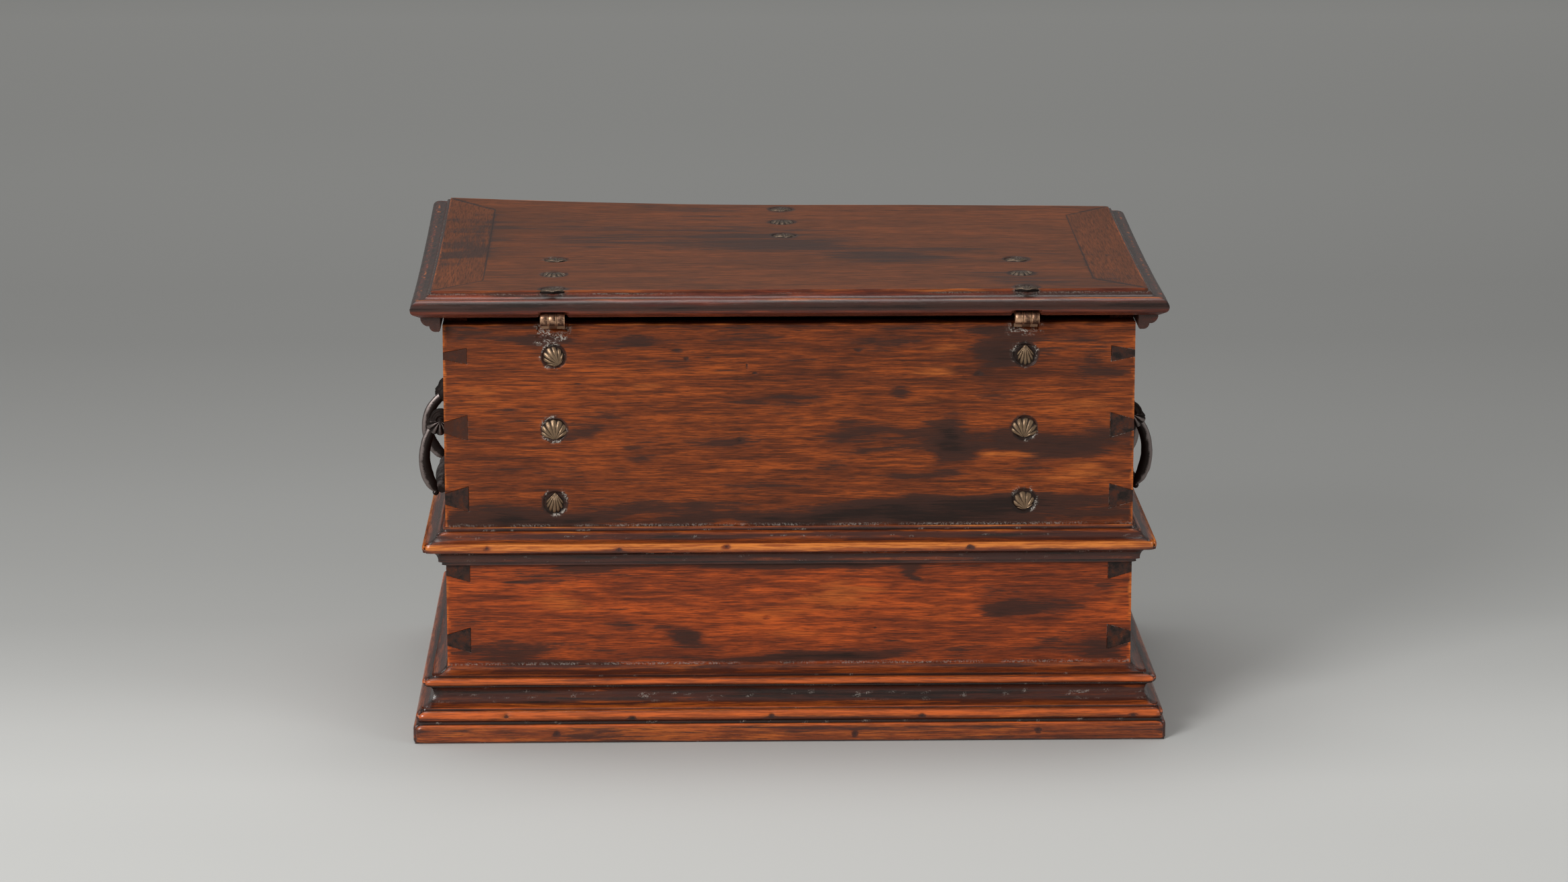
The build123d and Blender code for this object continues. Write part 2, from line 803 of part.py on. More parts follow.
# Case leaves of the hinges: a middle knuckle, a neck over the back board and a strap inside
leaf_low = back_height - strap_notch_depth + joint_gap
leaf_top = leaf_low + strap_thickness
neck_foot = half_depth + joint_gap
for name, side in ends.items():
    with BuildPart() as hinge_leaf_case:
        with BuildSketch(Plane.YZ.offset(side * hinge_x - knuckle / 2)):
            Polygon(
                (hinge_axis.Y, hinge_axis.Z),
                (hinge_axis.Y, hinge_axis.Z - barrel_radius),
                (neck_foot, leaf_low),
                (neck_foot, leaf_top),
                (hinge_axis.Y - barrel_radius * cos(radians(30)), hinge_axis.Z - barrel_radius / 2),
                align=None,
            )
            with Locations((hinge_axis.Y, hinge_axis.Z)):
                Circle(barrel_radius)
        extrude(amount=knuckle)
        with BuildSketch(Plane.YZ.offset(side * hinge_x - strap_width / 2)):
            Polygon(
                (neck_foot, leaf_low),
                (neck_foot, leaf_top),
                (inner_y - strap_thickness, leaf_top),
                (inner_y - strap_thickness, back_strap_end),
                (inner_y, back_strap_end),
                (inner_y, leaf_low),
                align=None,
            )
        extrude(amount=strap_width)
        strap_ends = hinge_leaf_case.edges().filter_by(Axis.Y).group_by(Axis.Z)[0]
        fillet(strap_ends, radius=strap_corner)
        with BuildSketch(Plane.YZ.offset(side * hinge_x - strap_width)):
            with Locations((hinge_axis.Y, hinge_axis.Z)):
                Circle(pin_radius + running_clearance)
        extrude(amount=2 * strap_width, mode=Mode.SUBTRACT)
        with BuildSketch(Plane.XZ.offset(-half_depth)):
            with Locations(*[(side * hinge_x, height) for height in back_nail_heights]):
                Circle(nail_hole_radius)
        extrude(amount=board + 2 * strap_thickness, mode=Mode.SUBTRACT)
    write(hinge_leaf_case, f"hinge_leaf_case_{name}")


hinge_pieces = [
    ("hinge_leaf_lid_left", -hinge_x, hinge_axis, 1, hinge_nail_backs),
    ("hinge_leaf_lid_right", hinge_x, hinge_axis, 1, hinge_nail_backs),
    ("hasp_strap", 0, hasp_axis, -1, front_nail_backs),
]
for name, x, axis_point, outward, nail_backs in hinge_pieces:
    strap_length = hinge_run - outward * nail_backs[-1] + lid_strap_tail
    with BuildPart() as lid_leaf_piece:
        with BuildSketch(lid_plane.offset(-strap_thickness)):
            with Locations((x, outward * (hinge_run - strap_length / 2))):
                RectangleRounded(strap_width, strap_length, strap_corner)
            with Locations((x, outward * (hinge_run - strap_corner / 2))):
                Rectangle(strap_width, strap_corner)
        extrude(amount=strap_thickness)
        for place in (-1, 1):
            start = x + place * (knuckle + knuckle_gap) - knuckle / 2
            with BuildSketch(Plane.YZ.offset(start)):
                with Locations((axis_point.Y, axis_point.Z)):
                    Circle(barrel_radius)
            extrude(amount=knuckle)
        with BuildSketch(Plane.YZ.offset(x - knuckle / 2 - knuckle_gap)):
            with Locations((axis_point.Y, axis_point.Z)):
                Circle(barrel_radius + barrel_pocket)
        extrude(amount=knuckle + 2 * knuckle_gap, mode=Mode.SUBTRACT)
        with BuildSketch(Plane.YZ.offset(x - strap_width)):
            with Locations((axis_point.Y, axis_point.Z)):
                Circle(pin_radius + running_clearance)
        extrude(amount=2 * strap_width, mode=Mode.SUBTRACT)
        with BuildSketch(lid_plane.offset(-strap_thickness)):
            with Locations(*[(x, back) for back in nail_backs]):
                Circle(nail_hole_radius)
        extrude(amount=strap_thickness, mode=Mode.SUBTRACT)
    write(lid_leaf_piece, name)

# Hinge pins
with BuildPart() as hinge_pins:
    for side in ends.values():
        with BuildSketch(Plane.YZ.offset(side * hinge_x - barrel_length / 2)):
            with Locations((hinge_axis.Y, hinge_axis.Z)):
                Circle(pin_radius)
        extrude(amount=barrel_length)
write(hinge_pins, "hinge_pins")

with BuildPart() as hasp_pin:
    with BuildSketch(Plane.YZ.offset(-barrel_length / 2)):
        with Locations((hasp_axis.Y, hasp_axis.Z)):
            Circle(pin_radius)
    extrude(amount=barrel_length)
write(hasp_pin, "hasp_pin")

# Shell nails
for name, side in ends.items():
    with BuildPart() as back_nails:
        for height in back_nail_heights:
            nail(
                Vector(side * hinge_x, half_depth, height),
                Vector(0, 1, 0),
                board + strap_thickness,
                nail_head_radius,
                nail_shank_radius,
                nail_recess,
                nail_dome,
            )
    write(back_nails, f"back_nails_{name}")

lid_nail_groups = [
    ("lid_nails_left", -hinge_x, hinge_nail_backs),
    ("lid_nails_right", hinge_x, hinge_nail_backs),
    ("lid_nails_front", 0, front_nail_backs),
]
for name, x, nail_backs in lid_nail_groups:
    with BuildPart() as lid_nails:
        for back in nail_backs:
            nail(
                lid_point(x, back, lid_thickness),
                lid_up,
                lid_thickness + strap_thickness,
                nail_head_radius,
                nail_shank_radius,
                nail_recess,
                nail_dome / 2,
            )
    write(lid_nails, name)

# Hasp, drawn shut and then hanging open by its own weight
hang_sin = sin(radians(hasp_hang))
hang_cos = cos(radians(hasp_hang))
hasp_plane = Plane(origin=hasp_axis, x_dir=(0, hang_cos, -hang_sin), z_dir=(1, 0, 0))
slope = Vector(hasp_knee, -hasp_knee_drop)
slope_unit = slope.normalized()
across_x = -slope_unit.Y * hasp_thickness / 2
across_y = slope_unit.X * hasp_thickness / 2
bend = (1 - slope_unit.X) / -slope_unit.Y * hasp_thickness / 2
neck_share = hasp_neck_drop / hasp_knee_drop
neck_x = slope.X * neck_share
neck_y = slope.Y * neck_share
with BuildPart() as hasp:
    with BuildSketch(hasp_plane.offset(-knuckle / 2)):
        Circle(barrel_radius)
        Polygon(
            (across_x, across_y),
            (-across_x, -across_y),
            (neck_x * 2 - across_x, neck_y * 2 - across_y),
            (neck_x * 2 + across_x, neck_y * 2 + across_y),
            align=None,
        )
    extrude(amount=knuckle)
    with BuildSketch(hasp_plane.offset(-hasp_width / 2)):
        Polygon(
            (neck_x + across_x, neck_y + across_y),
            (neck_x - across_x, neck_y - across_y),
            (hasp_knee - hasp_thickness / 2, -hasp_knee_drop - bend),
            (hasp_knee - hasp_thickness / 2, -hasp_length),
            (hasp_knee + hasp_thickness / 2, -hasp_length),
            (hasp_knee + hasp_thickness / 2, -hasp_knee_drop + bend),
            align=None,
        )
    extrude(amount=hasp_width)
    tip_edges = hasp.edges().filter_by(Axis(hasp_axis, hasp_plane.x_dir)).group_by(Axis.Z)[0]
    fillet(tip_edges, radius=hasp_width / 3)
    with BuildSketch(hasp_plane.offset(-staple_thickness / 2)):
        with Locations((staple_reach, -staple_drop)):
            Circle(staple_radius)
        with Locations(((staple_reach + hasp_knee) / 2, -staple_drop)):
            Rectangle(staple_reach - hasp_knee, 2 * staple_radius)
        with Locations((staple_reach, -staple_drop)):
            Circle(staple_eye_radius, mode=Mode.SUBTRACT)
    extrude(amount=staple_thickness)
    with BuildSketch(hasp_plane.offset(-hasp_width)):
        Circle(pin_radius + running_clearance)
    extrude(amount=2 * hasp_width, mode=Mode.SUBTRACT)
write(hasp, "hasp")

# Lock plate with the slot for the staple and the keyhole
with BuildPart() as lock_plate:
    with BuildSketch(Plane.XZ.offset(half_depth)):
        with Locations((0, lock_plate_middle)):
            Rectangle(lock_plate_width, lock_plate_height)
            with GridLocations(lock_plate_width, lock_plate_height, 2, 2):
                Circle(lock_plate_cusp, mode=Mode.SUBTRACT)
        with Locations((0, bolt_z + (lock_slot_above - lock_slot_below) / 2)):
            Rectangle(lock_slot_width, lock_slot_above + lock_slot_below, mode=Mode.SUBTRACT)
        with Locations((keyhole_x, bolt_z - keyhole_drop)):
            Circle(keyhole_radius, mode=Mode.SUBTRACT)
            with Locations((0, -keyhole_length / 2)):
                Rectangle(keyhole_slot, keyhole_length, mode=Mode.SUBTRACT)
        with Locations(*lock_nail_places):
            Circle(lock_nail_shank + joint_gap, mode=Mode.SUBTRACT)
    extrude(amount=lock_plate_thickness)
write(lock_plate, "lock_plate")

# Lock case: a tray behind the plate with two guides for the bolt
with BuildPart() as lock_case:
    with BuildSketch(Plane.XZ.offset(half_depth)):
        with Locations((0, bolt_z)):
            Rectangle(lock_case_width, lock_case_height)
    extrude(amount=-lock_case_depth)
    with BuildSketch(Plane.XZ.offset(half_depth)):
        with Locations((0, bolt_z)):
            Rectangle(lock_case_width - 2 * lock_case_wall, lock_case_height - 2 * lock_case_wall)
    extrude(amount=-lock_case_depth + lock_case_wall, mode=Mode.SUBTRACT)
    guide_height = bolt_height + 2 * (bolt_clearance + bolt_guide_wall)
    with BuildSketch(Plane.XZ.offset(half_depth - seat_gap)):
        with Locations(*[(x, bolt_z) for x in bolt_guide_x]):
            Rectangle(bolt_guide_width, guide_height)
    extrude(amount=-lock_case_depth + lock_case_wall + seat_gap)
    way_back = bolt_y + bolt_depth / 2 + bolt_clearance
    with Locations((0, (way_back - half_depth - overrun) / 2, bolt_z)):
        Box(
            lock_case_width / 2,
            way_back + half_depth + overrun,
            bolt_height + 2 * bolt_clearance,
            mode=Mode.SUBTRACT,
        )
write(lock_case, "lock_case")

with BuildPart() as lock_bolt:
    with Locations((bolt_tip + bolt_length / 2, bolt_y, bolt_z)):
        Box(bolt_length, bolt_depth, bolt_height)
    with Locations((lug_x, bolt_y, bolt_z - (bolt_height + bolt_lug_drop) / 2)):
        Box(bolt_lug_width, bolt_depth, bolt_lug_drop)
write(lock_bolt, "lock_bolt")

with BuildPart() as lock_nails:
    for x, z in lock_nail_places:
        nail(
            Vector(x, -half_depth - lock_plate_thickness, z),
            Vector(0, -1, 0),
            lock_nail_length,
            lock_nail_radius,
            lock_nail_shank,
            0,
            lock_nail_radius / 2,
        )
write(lock_nails, "lock_nails")

# Drop handles: two riveted posts and a swinging bail on each end
for name, side in ends.items():
    height = handle_heights[name]
    face = side * half_width
    with BuildPart() as handle_posts:
        for end in (-1, 1):
            inner_face = end * (arm_y + arm_radius + post_gap)
            boss_middle = Vector(face + side * post_reach, inner_face, height)
            boss_plane = Plane(origin=boss_middle, x_dir=(1, 0, 0), z_dir=(0, 0, end))
            with BuildSketch(boss_plane):
                dome_top = (0, post_thickness + post_dome)
                dome_edge = (post_radius, post_thickness / 2)
                with BuildLine():
                    Polyline(dome_top, (0, 0), (post_radius, 0), dome_edge)
                    TangentArc(dome_top, dome_edge, tangent=(1, 0))
                make_face()
            revolve(axis=Axis(boss_middle, (0, 1, 0)))
        with Locations((face - side * post_radius, 0, height)):
            Box(2 * post_radius, body_depth, 4 * post_radius, mode=Mode.SUBTRACT)
        for end in (-1, 1):
            shank_y = end * (arm_y + arm_radius + post_gap + post_thickness / 2)
            shank_plane = Plane(origin=(face, shank_y, height), x_dir=(0, 1, 0), z_dir=(-side, 0, 0))
            with BuildSketch(shank_plane.offset(-post_reach)):
                Circle(post_shank_radius)
            extrude(amount=post_reach + board + post_rivet)
            with BuildSketch(shank_plane.offset(board)):
                Circle(post_rivet_radius)
            extrude(amount=post_rivet)
            pivot = Vector(face + side * arm_pivot_reach, end * (arm_y + arm_radius), height)
            with BuildSketch(Plane(origin=pivot, x_dir=(1, 0, 0), z_dir=(0, end, 0))):
                Circle(trunnion_radius + running_clearance)
            extrude(amount=post_gap + trunnion_length + joint_gap, mode=Mode.SUBTRACT)
    write(handle_posts, f"handle_posts_{name}")

    with BuildPart() as bail:
        for end in (-1, 1):
            arm_plane = Plane(origin=(face, end * arm_y, height), x_dir=(side, 0, 0), z_dir=(0, -side, 0))
            with BuildLine(arm_plane) as arm:
                ThreePointArc(
                    (arm_pivot_reach, 0),
                    (arm_bulge_reach, -arm_bulge_drop),
                    (arm_end_reach, -arm_end_drop),
                )
            with BuildSketch(Plane(origin=arm.line @ 0, z_dir=arm.line % 0)):
                Circle(arm_radius)
            sweep()
            pivot = Vector(face + side * arm_pivot_reach, end * arm_y, height)
            with Locations(pivot):
                Sphere(eye_radius)
            with BuildSketch(Plane(origin=pivot, x_dir=(1, 0, 0), z_dir=(0, end, 0))):
                Circle(trunnion_radius)
            extrude(amount=arm_radius + post_gap + trunnion_length)
            with Locations((face + side * arm_end_reach, end * arm_y, height - arm_end_drop)):
                Sphere(arm_radius)
            with Locations((face + side * tip_reach, end * arm_y, height - tip_drop)):
                Sphere(tip_radius)
        grip_middle = Vector(face + side * grip_reach, 0, height - grip_drop)
        with BuildSketch(Plane(origin=grip_middle, x_dir=(0, 1, 0), z_dir=(0, 0, -1))):
            with BuildLine():
                Polyline((arm_y, grip_end_radius), (arm_y, 0), (-arm_y, 0), (-arm_y, grip_end_radius))
                ThreePointArc((-arm_y, grip_end_radius), (0, grip_radius), (arm_y, grip_end_radius))
            make_face()
        revolve(axis=Axis(grip_middle, (0, 1, 0)))
    write(bail, f"bail_{name}")

# Drawer
drawer_low = base_height + seat_gap
drawer_high = opening_top - drawer_top_gap
drawer_half = inner_x - drawer_side_gap
drawer_front_y = -half_depth
drawer_back_y = inner_y - drawer_back_gap
side_start = drawer_front_y + drawer_lap
wall_high = drawer_high - drawer_side_drop
wall_x = drawer_half - drawer_wall / 2
wall_z = (drawer_low + wall_high) / 2
bottom_low = drawer_low + drawer_bottom_lift
bottom_front = drawer_front_y + drawer_front_thickness - drawer_groove
pull_z = drawer_low + (drawer_high - drawer_low) * pull_height_share


def drawer_groove_cut():
    """Groove for the drawer's bottom in its front and sides."""
    groove_start = bottom_front - joint_gap
    groove_middle = (groove_start + drawer_back_y + overrun) / 2
    with Locations((0, groove_middle, bottom_low + drawer_bottom_thickness / 2)):
        Box(
            2 * (drawer_half - drawer_wall + drawer_groove + joint_gap),
            drawer_back_y + overrun - groove_start,
            drawer_bottom_thickness + 2 * joint_gap,
            mode=Mode.SUBTRACT,
        )


with BuildPart() as drawer_front:
    with Locations((0, drawer_front_y + drawer_front_thickness / 2, (drawer_low + drawer_high) / 2)):
        Box(2 * drawer_half, drawer_front_thickness, drawer_high - drawer_low)
    rebate = drawer_front_thickness - drawer_lap
    for side in ends.values():
        with Locations((side * wall_x, side_start + rebate / 2, wall_z)):
            Box(
                drawer_wall + 2 * joint_gap,
                rebate + 2 * joint_gap,
                wall_high - drawer_low + 2 * joint_gap,
                mode=Mode.SUBTRACT,
            )
    drawer_groove_cut()
    with BuildSketch(Plane.XZ.offset(half_depth)):
        with Locations((0, pull_z)):
            Circle(pull_shank_radius + joint_gap)
    extrude(amount=-drawer_front_thickness, mode=Mode.SUBTRACT)
write(drawer_front, "drawer_front")

for name, side in ends.items():
    with BuildPart() as drawer_side:
        with Locations((side * wall_x, (side_start + drawer_back_y) / 2, wall_z)):
            Box(drawer_wall, drawer_back_y - side_start, wall_high - drawer_low)
        drawer_groove_cut()
    write(drawer_side, f"drawer_side_{name}")

with BuildPart() as drawer_back:
    back_low = bottom_low + drawer_bottom_thickness + joint_gap
    with Locations((0, drawer_back_y - drawer_wall / 2, (back_low + wall_high) / 2)):
        Box(2 * (drawer_half - drawer_wall), drawer_wall, wall_high - back_low)
write(drawer_back, "drawer_back")

bottom_width = 2 * (drawer_half - drawer_wall + drawer_groove)
with BuildPart() as drawer_bottom:
    with Locations((0, (bottom_front + drawer_back_y) / 2, bottom_low + drawer_bottom_thickness / 2)):
        Box(bottom_width, drawer_back_y - bottom_front, drawer_bottom_thickness)
write(drawer_bottom, "drawer_bottom")

# Ring pull
pull_eye_y = -half_depth - pull_eye_reach
with BuildPart() as drawer_pull_post:
    with BuildSketch(Plane.XZ.offset(half_depth)):
        with Locations((0, pull_z)):
            Circle(pull_plate_radius)
    extrude(amount=pull_plate_thickness)
    with BuildSketch(Plane.YZ.offset(-pull_eye_width / 2)):
        with Locations((pull_eye_y, pull_z)):
            Circle(pull_eye_radius)
        with Locations((pull_eye_y + pull_eye_reach / 2, pull_z)):
            Rectangle(pull_eye_reach, pull_eye_radius)
    extrude(amount=pull_eye_width)
    with BuildSketch(Plane.YZ.offset(-pull_eye_width)):
        with Locations((pull_eye_y, pull_z)):
            Circle(ring_wire_radius + ring_clearance)
    extrude(amount=2 * pull_eye_width, mode=Mode.SUBTRACT)
    with BuildSketch(Plane.XZ.offset(half_depth)):
        with Locations((0, pull_z)):
            Circle(pull_shank_radius)
    extrude(amount=-drawer_front_thickness)
    with BuildSketch(Plane.XZ.offset(half_depth - drawer_front_thickness)):
        with Locations((0, pull_z)):
            Circle(pull_rivet_radius)
    extrude(amount=-pull_plate_thickness)
write(drawer_pull_post, "drawer_pull_post")

with BuildPart() as drawer_pull_ring:
    with BuildSketch(Plane.YZ):
        with Locations((pull_eye_y, pull_z)):
            Circle(ring_wire_radius)
    revolve(axis=Axis((0, pull_eye_y, pull_z - ring_radius), (0, 1, 0)))
write(drawer_pull_ring, "drawer_pull_ring")
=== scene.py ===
# Looks of the document box. Lengths are millimetres until a mesh is made, and metres in the shaders.

import cmath
import math
from itertools import product

import bmesh
import bpy
import numpy as np
from mathutils import Matrix, Vector


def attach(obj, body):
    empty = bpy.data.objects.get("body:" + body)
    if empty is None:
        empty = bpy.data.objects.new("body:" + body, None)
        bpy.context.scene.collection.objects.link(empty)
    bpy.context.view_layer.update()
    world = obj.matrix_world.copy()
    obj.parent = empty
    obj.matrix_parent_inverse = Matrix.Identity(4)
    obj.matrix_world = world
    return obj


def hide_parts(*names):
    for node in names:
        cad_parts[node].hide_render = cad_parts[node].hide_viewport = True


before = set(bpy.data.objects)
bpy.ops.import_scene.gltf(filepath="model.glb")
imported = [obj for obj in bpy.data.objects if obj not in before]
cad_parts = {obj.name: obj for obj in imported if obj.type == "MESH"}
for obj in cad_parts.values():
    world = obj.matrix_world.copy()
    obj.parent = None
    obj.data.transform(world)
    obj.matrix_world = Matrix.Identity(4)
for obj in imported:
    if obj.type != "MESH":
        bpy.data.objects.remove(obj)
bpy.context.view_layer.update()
MM = 0.001

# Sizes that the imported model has
half_width = 220.0
half_depth = 133.0
back_height = 269.6
board = 15.0
hinge_x = 150.0
hinge_axis = (144.9, 274.8)
hasp_axis = (-145.0, 283.1)
back_nail_heights = (248.5, 201.0, 153.5)
hinge_nail_backs = (136.5, 91.0, 45.5)
front_nail_backs = (-124.5, -79.0, -33.5)
lid_middle = 280.552
lid_tilt = math.radians(1.64)
lid_thickness = 16.0
clamp_x = 195.0
clamp_y = 108.0
pins = [(16.5, 1.0), (63.0, 1.0), (109.5, 1.0), (156.0, 1.0), (202.5, 1.0), (249.0, 0.62)]


# Numbers


def points_at(*columns):
    """Points from columns of coordinates. A number fills its column, and a column left out is zero."""
    columns = np.broadcast_arrays(*columns, *[0.0] * (3 - len(columns)))
    return np.stack(columns, axis=-1)


def value_noise(points, seed):
    """Smooth noise from -1 to 1 at each point."""
    table = np.random.default_rng(seed).random((32, 32, 32))
    cell = np.floor(points).astype(int)
    part = points - cell
    part = part * part * (3 - 2 * part)
    total = 0.0
    for corner in product((0, 1), repeat=3):
        weight = np.prod(np.where(corner, part, 1 - part), axis=-1)
        index = (cell + corner) % 32
        total = total + weight * table[index[..., 0], index[..., 1], index[..., 2]]
    return total * 2 - 1


def cloud_noise(points, seed, octaves):
    """Noise of several sizes, each octave half as strong as the one before."""
    total = 0.0
    for octave in range(octaves):
        total = total + value_noise(points * 2.03**octave + octave * 7.3, seed + octave) * 0.5**octave
    return total / (2 - 0.5 ** (octaves - 1))


def smooth(value, low, high):
    """A soft step from 0 at low to 1 at high."""
    share = np.clip((value - low) / (high - low), 0, 1)
    return share * share * (3 - 2 * share)


def fade(value, low, high):
    """A soft step from 1 at low to 0 at high."""
    return 1 - smooth(value, low, high)


def bell(value, middle, width):
    return np.exp(-(((value - middle) / width) ** 2))


def steps(low, high, size):
    """Even steps of about a size."""
    return list(np.linspace(low, high, max(1, round(abs(high - low) / size)) + 1))


def nearest(x, y, centres):
    """Distance to the nearest centre."""
    return np.min([np.hypot(x - cx, y - cy) for cx, cy in centres], axis=0)


def through(start, middle, end, count):
    """Points on the arc through three points, without its start."""
    a, b, c = (complex(*point) for point in (start, middle, end))
    ratio = (c - a) / (b - a)
    centre = a + (b - a) * (ratio - abs(ratio) ** 2) / (2j * ratio.imag)
    turn = cmath.phase((c - centre) / (a - centre))
    half_turn = cmath.phase((b - centre) / (a - centre))
    if turn * half_turn < 0:
        turn -= math.copysign(2 * math.pi, turn)
    spots = [centre + (a - centre) * cmath.rect(1, turn * i / count) for i in range(1, count + 1)]
    return [(spot.real, spot.imag) for spot in spots]


# Meshes


def add_object(name, data):
    item = bpy.data.objects.new(name, data)
    bpy.context.scene.collection.objects.link(item)
    return item


def make_piece(name, verts, faces, paint, body, material, replaced=(), sharp=38):
    """A mesh piece that rides on a body. Its paint holds smoke and painted shade, wear and painted
    highlights, and dust and a few painted highlights at each vertex.
    """
    mesh = bpy.data.meshes.new(name)
    mesh.from_pydata([tuple(c * MM for c in v) for v in verts], [], [tuple(f) for f in faces])
    mesh.validate()
    piece = add_object(name, mesh)
    layer = mesh.attributes.new("paint", "FLOAT_COLOR", "POINT")
    flat = np.ones((len(verts), 4), dtype=np.float32)
    flat[:, :3] = paint
    layer.data.foreach_set("color", flat.ravel())
    mesh.shade_smooth()
    mesh.set_sharp_from_angle(angle=math.radians(sharp))
    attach(piece, body)
    if replaced:
        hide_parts(*replaced)
    mesh.materials.append(material)


def grid_faces(columns, rows, first=0, closed=False, flip=False):
    """Quads of a grid of vertices, column by column, whose rows may close on themselves."""
    faces = []
    for i in range(columns - 1):
        for j in range(rows if closed else rows - 1):
            a = first + i * rows + j
            b = first + i * rows + (j + 1) % rows
            faces.append((a, b, b + rows, a + rows) if flip else (a, a + rows, b + rows, b))
    return faces


def nail_seats(x, y, centres, radius, rim, swirl, seed):
    """1 in each nail's sunken, uneven seat, and 0 outside it."""
    recess = np.zeros_like(x)
    for number, (cx, cy) in enumerate(centres):
        angle = np.arctan2(y - cy, x - cx)
        wobble = value_noise(points_at(np.cos(angle) * swirl + number * 3, np.sin(angle) * swirl), seed)
        distance = np.hypot(x - cx, y - cy)
        recess = np.maximum(recess, fade(distance, radius + 0.7 * wobble, rim + 0.9 * wobble))
    return recess


def lid_place(x, back, height):
    """A point given along the lid and above its underside, in the frame's own axes."""
    y = back * math.cos(lid_tilt) + height * math.sin(lid_tilt)
    z = lid_middle - back * math.sin(lid_tilt) + height * math.cos(lid_tilt)
    return points_at(x, y, z)


def lid_warp(x, back):
    """How far the old lid has twisted and cupped, in millimetres up."""
    front = np.clip((half_depth - back) / 286, 0, 1)
    share = x / 240
    twist = np.where(share > 0, 7.4 * np.abs(share) ** 1.7, -1.7 * np.abs(share) ** 1.5)
    cup = -2.3 * 4 * front * (1 - front) * np.abs(share) ** 4
    return front**1.4 * twist + cup


class Pile:
    """Vertices, faces and paint of several closed shapes that make one piece."""

    def __init__(self):
        self.verts, self.faces, self.paint = [], [], []

    def add(self, verts, faces, paint):
        first = len(self.verts)
        self.verts += [tuple(v) for v in verts]
        self.faces += [[first + k for k in face] for face in faces]
        self.paint += [tuple(c) for c in paint]

    def make(self, name, body, material, replaced=(), sharp=50):
        paint = np.array(self.paint)
        make_piece(name, self.verts, self.faces, paint, body, material, replaced, sharp)


# Shader nodes


class Nodes:
    """A node tree, with a short method for each kind of node that the looks use."""

    def __init__(self, tree):
        self.tree = tree
        self.tree.nodes.clear()

    def add(self, kind, inputs, **settings):
        node = self.tree.nodes.new(kind)
        for key, value in settings.items():
            setattr(node, key, value)
        for key, value in inputs.items():
            self.feed(node.inputs[key], value)
        return node

    def feed(self, socket, value):
        """Link another node's output to a socket, or set the socket's own colour, vector or number."""
        if isinstance(value, bpy.types.NodeSocket):
            self.tree.links.new(value, socket)
        elif socket.type == "RGBA":
            socket.default_value = (*value, 1)
        else:
            socket.default_value = value

    def math(self, operation, *values, clamp=False):
        node = self.add("ShaderNodeMath", dict(enumerate(values)), operation=operation, use_clamp=clamp)
        return node.outputs[0]

    def plus(self, first, second):
        return self.math("ADD", first, second)

    def minus(self, first, second):
        return self.math("SUBTRACT", first, second)

    def times(self, first, second):
        return self.math("MULTIPLY", first, second)

    def total(self, *terms):
        """Sum of values, each times its weight."""
        first, *others = [self.times(value, weight) for value, weight in terms]
        for other in others:
            first = self.plus(first, other)
        return first

    def mix(self, share, first, second, blend="MIX"):
        inputs = {0: share, 6: first, 7: second}
        node = self.add("ShaderNodeMix", inputs, data_type="RGBA", blend_type=blend, clamp_factor=True)
        return node.outputs[2]

    def split(self, vector):
        """The three coordinates of a vector."""
        return self.add("ShaderNodeSeparateXYZ", {0: vector}).outputs

    def spread(self, value, low, high, start=0.0, end=1.0):
        """A soft step from start, where the value is low, to end, where it is high."""
        inputs = {"Value": value, "From Min": low, "From Max": high, "To Min": start, "To Max": end}
        return self.add("ShaderNodeMapRange", inputs, interpolation_type="SMOOTHSTEP").outputs[0]

    def ramp(self, value, stops):
        node = self.add("ShaderNodeValToRGB", {0: value})
        ramp = node.color_ramp
        while len(ramp.elements) < len(stops):
            ramp.elements.new(0.5)
        for element, (place, colour) in zip(ramp.elements, stops):
            element.position = place
            element.color = (*colour, 1)
        return node.outputs[0]


class Shader(Nodes):
    """A material, with its surface and the places and paint of its piece."""

    def __init__(self, name):
        self.material = bpy.data.materials.new(name)
        self.material.use_nodes = True
        super().__init__(self.material.node_tree)
        self.surface = self.add("ShaderNodeBsdfPrincipled", {})
        self.add("ShaderNodeOutputMaterial", {"Surface": self.surface.outputs[0]})
        self.position = self.add("ShaderNodeTexCoord", {}).outputs["Object"]

    def paint(self):
        """The smoke and painted shade, the wear and painted highlights, and the dust and a few painted
        highlights on the piece.
        """
        layer = self.add("ShaderNodeAttribute", {}, attribute_name="paint")
        return self.add("ShaderNodeSeparateColor", {0: layer.outputs["Color"]}).outputs[:3]

    def noise(self, scale, shift=(0, 0, 0), detail=4.0, roughness=0.55, distortion=0.0):
        """Noise with a scale along each axis."""
        mapping = {"Vector": self.position, "Scale": scale, "Location": shift}
        vector = self.add("ShaderNodeMapping", mapping).outputs[0]
        look = {"Scale": 1.0, "Detail": detail, "Roughness": roughness, "Distortion": distortion}
        return self.add("ShaderNodeTexNoise", {"Vector": vector, **look}).outputs[0]

    def set(self, **values):
        for key, value in values.items():
            self.feed(self.surface.inputs[key.replace("_", " ")], value)

    def bump(self, height, distance, strength):
        inputs = {"Height": height, "Distance": distance, "Strength": strength}
        self.set(Normal=self.add("ShaderNodeBump", inputs).outputs[0])


# Wood


smoke = (0.034, 0.0165, 0.0125)
red_smoke = (0.044, 0.0135, 0.0095)
soot = (0.013, 0.0085, 0.007)


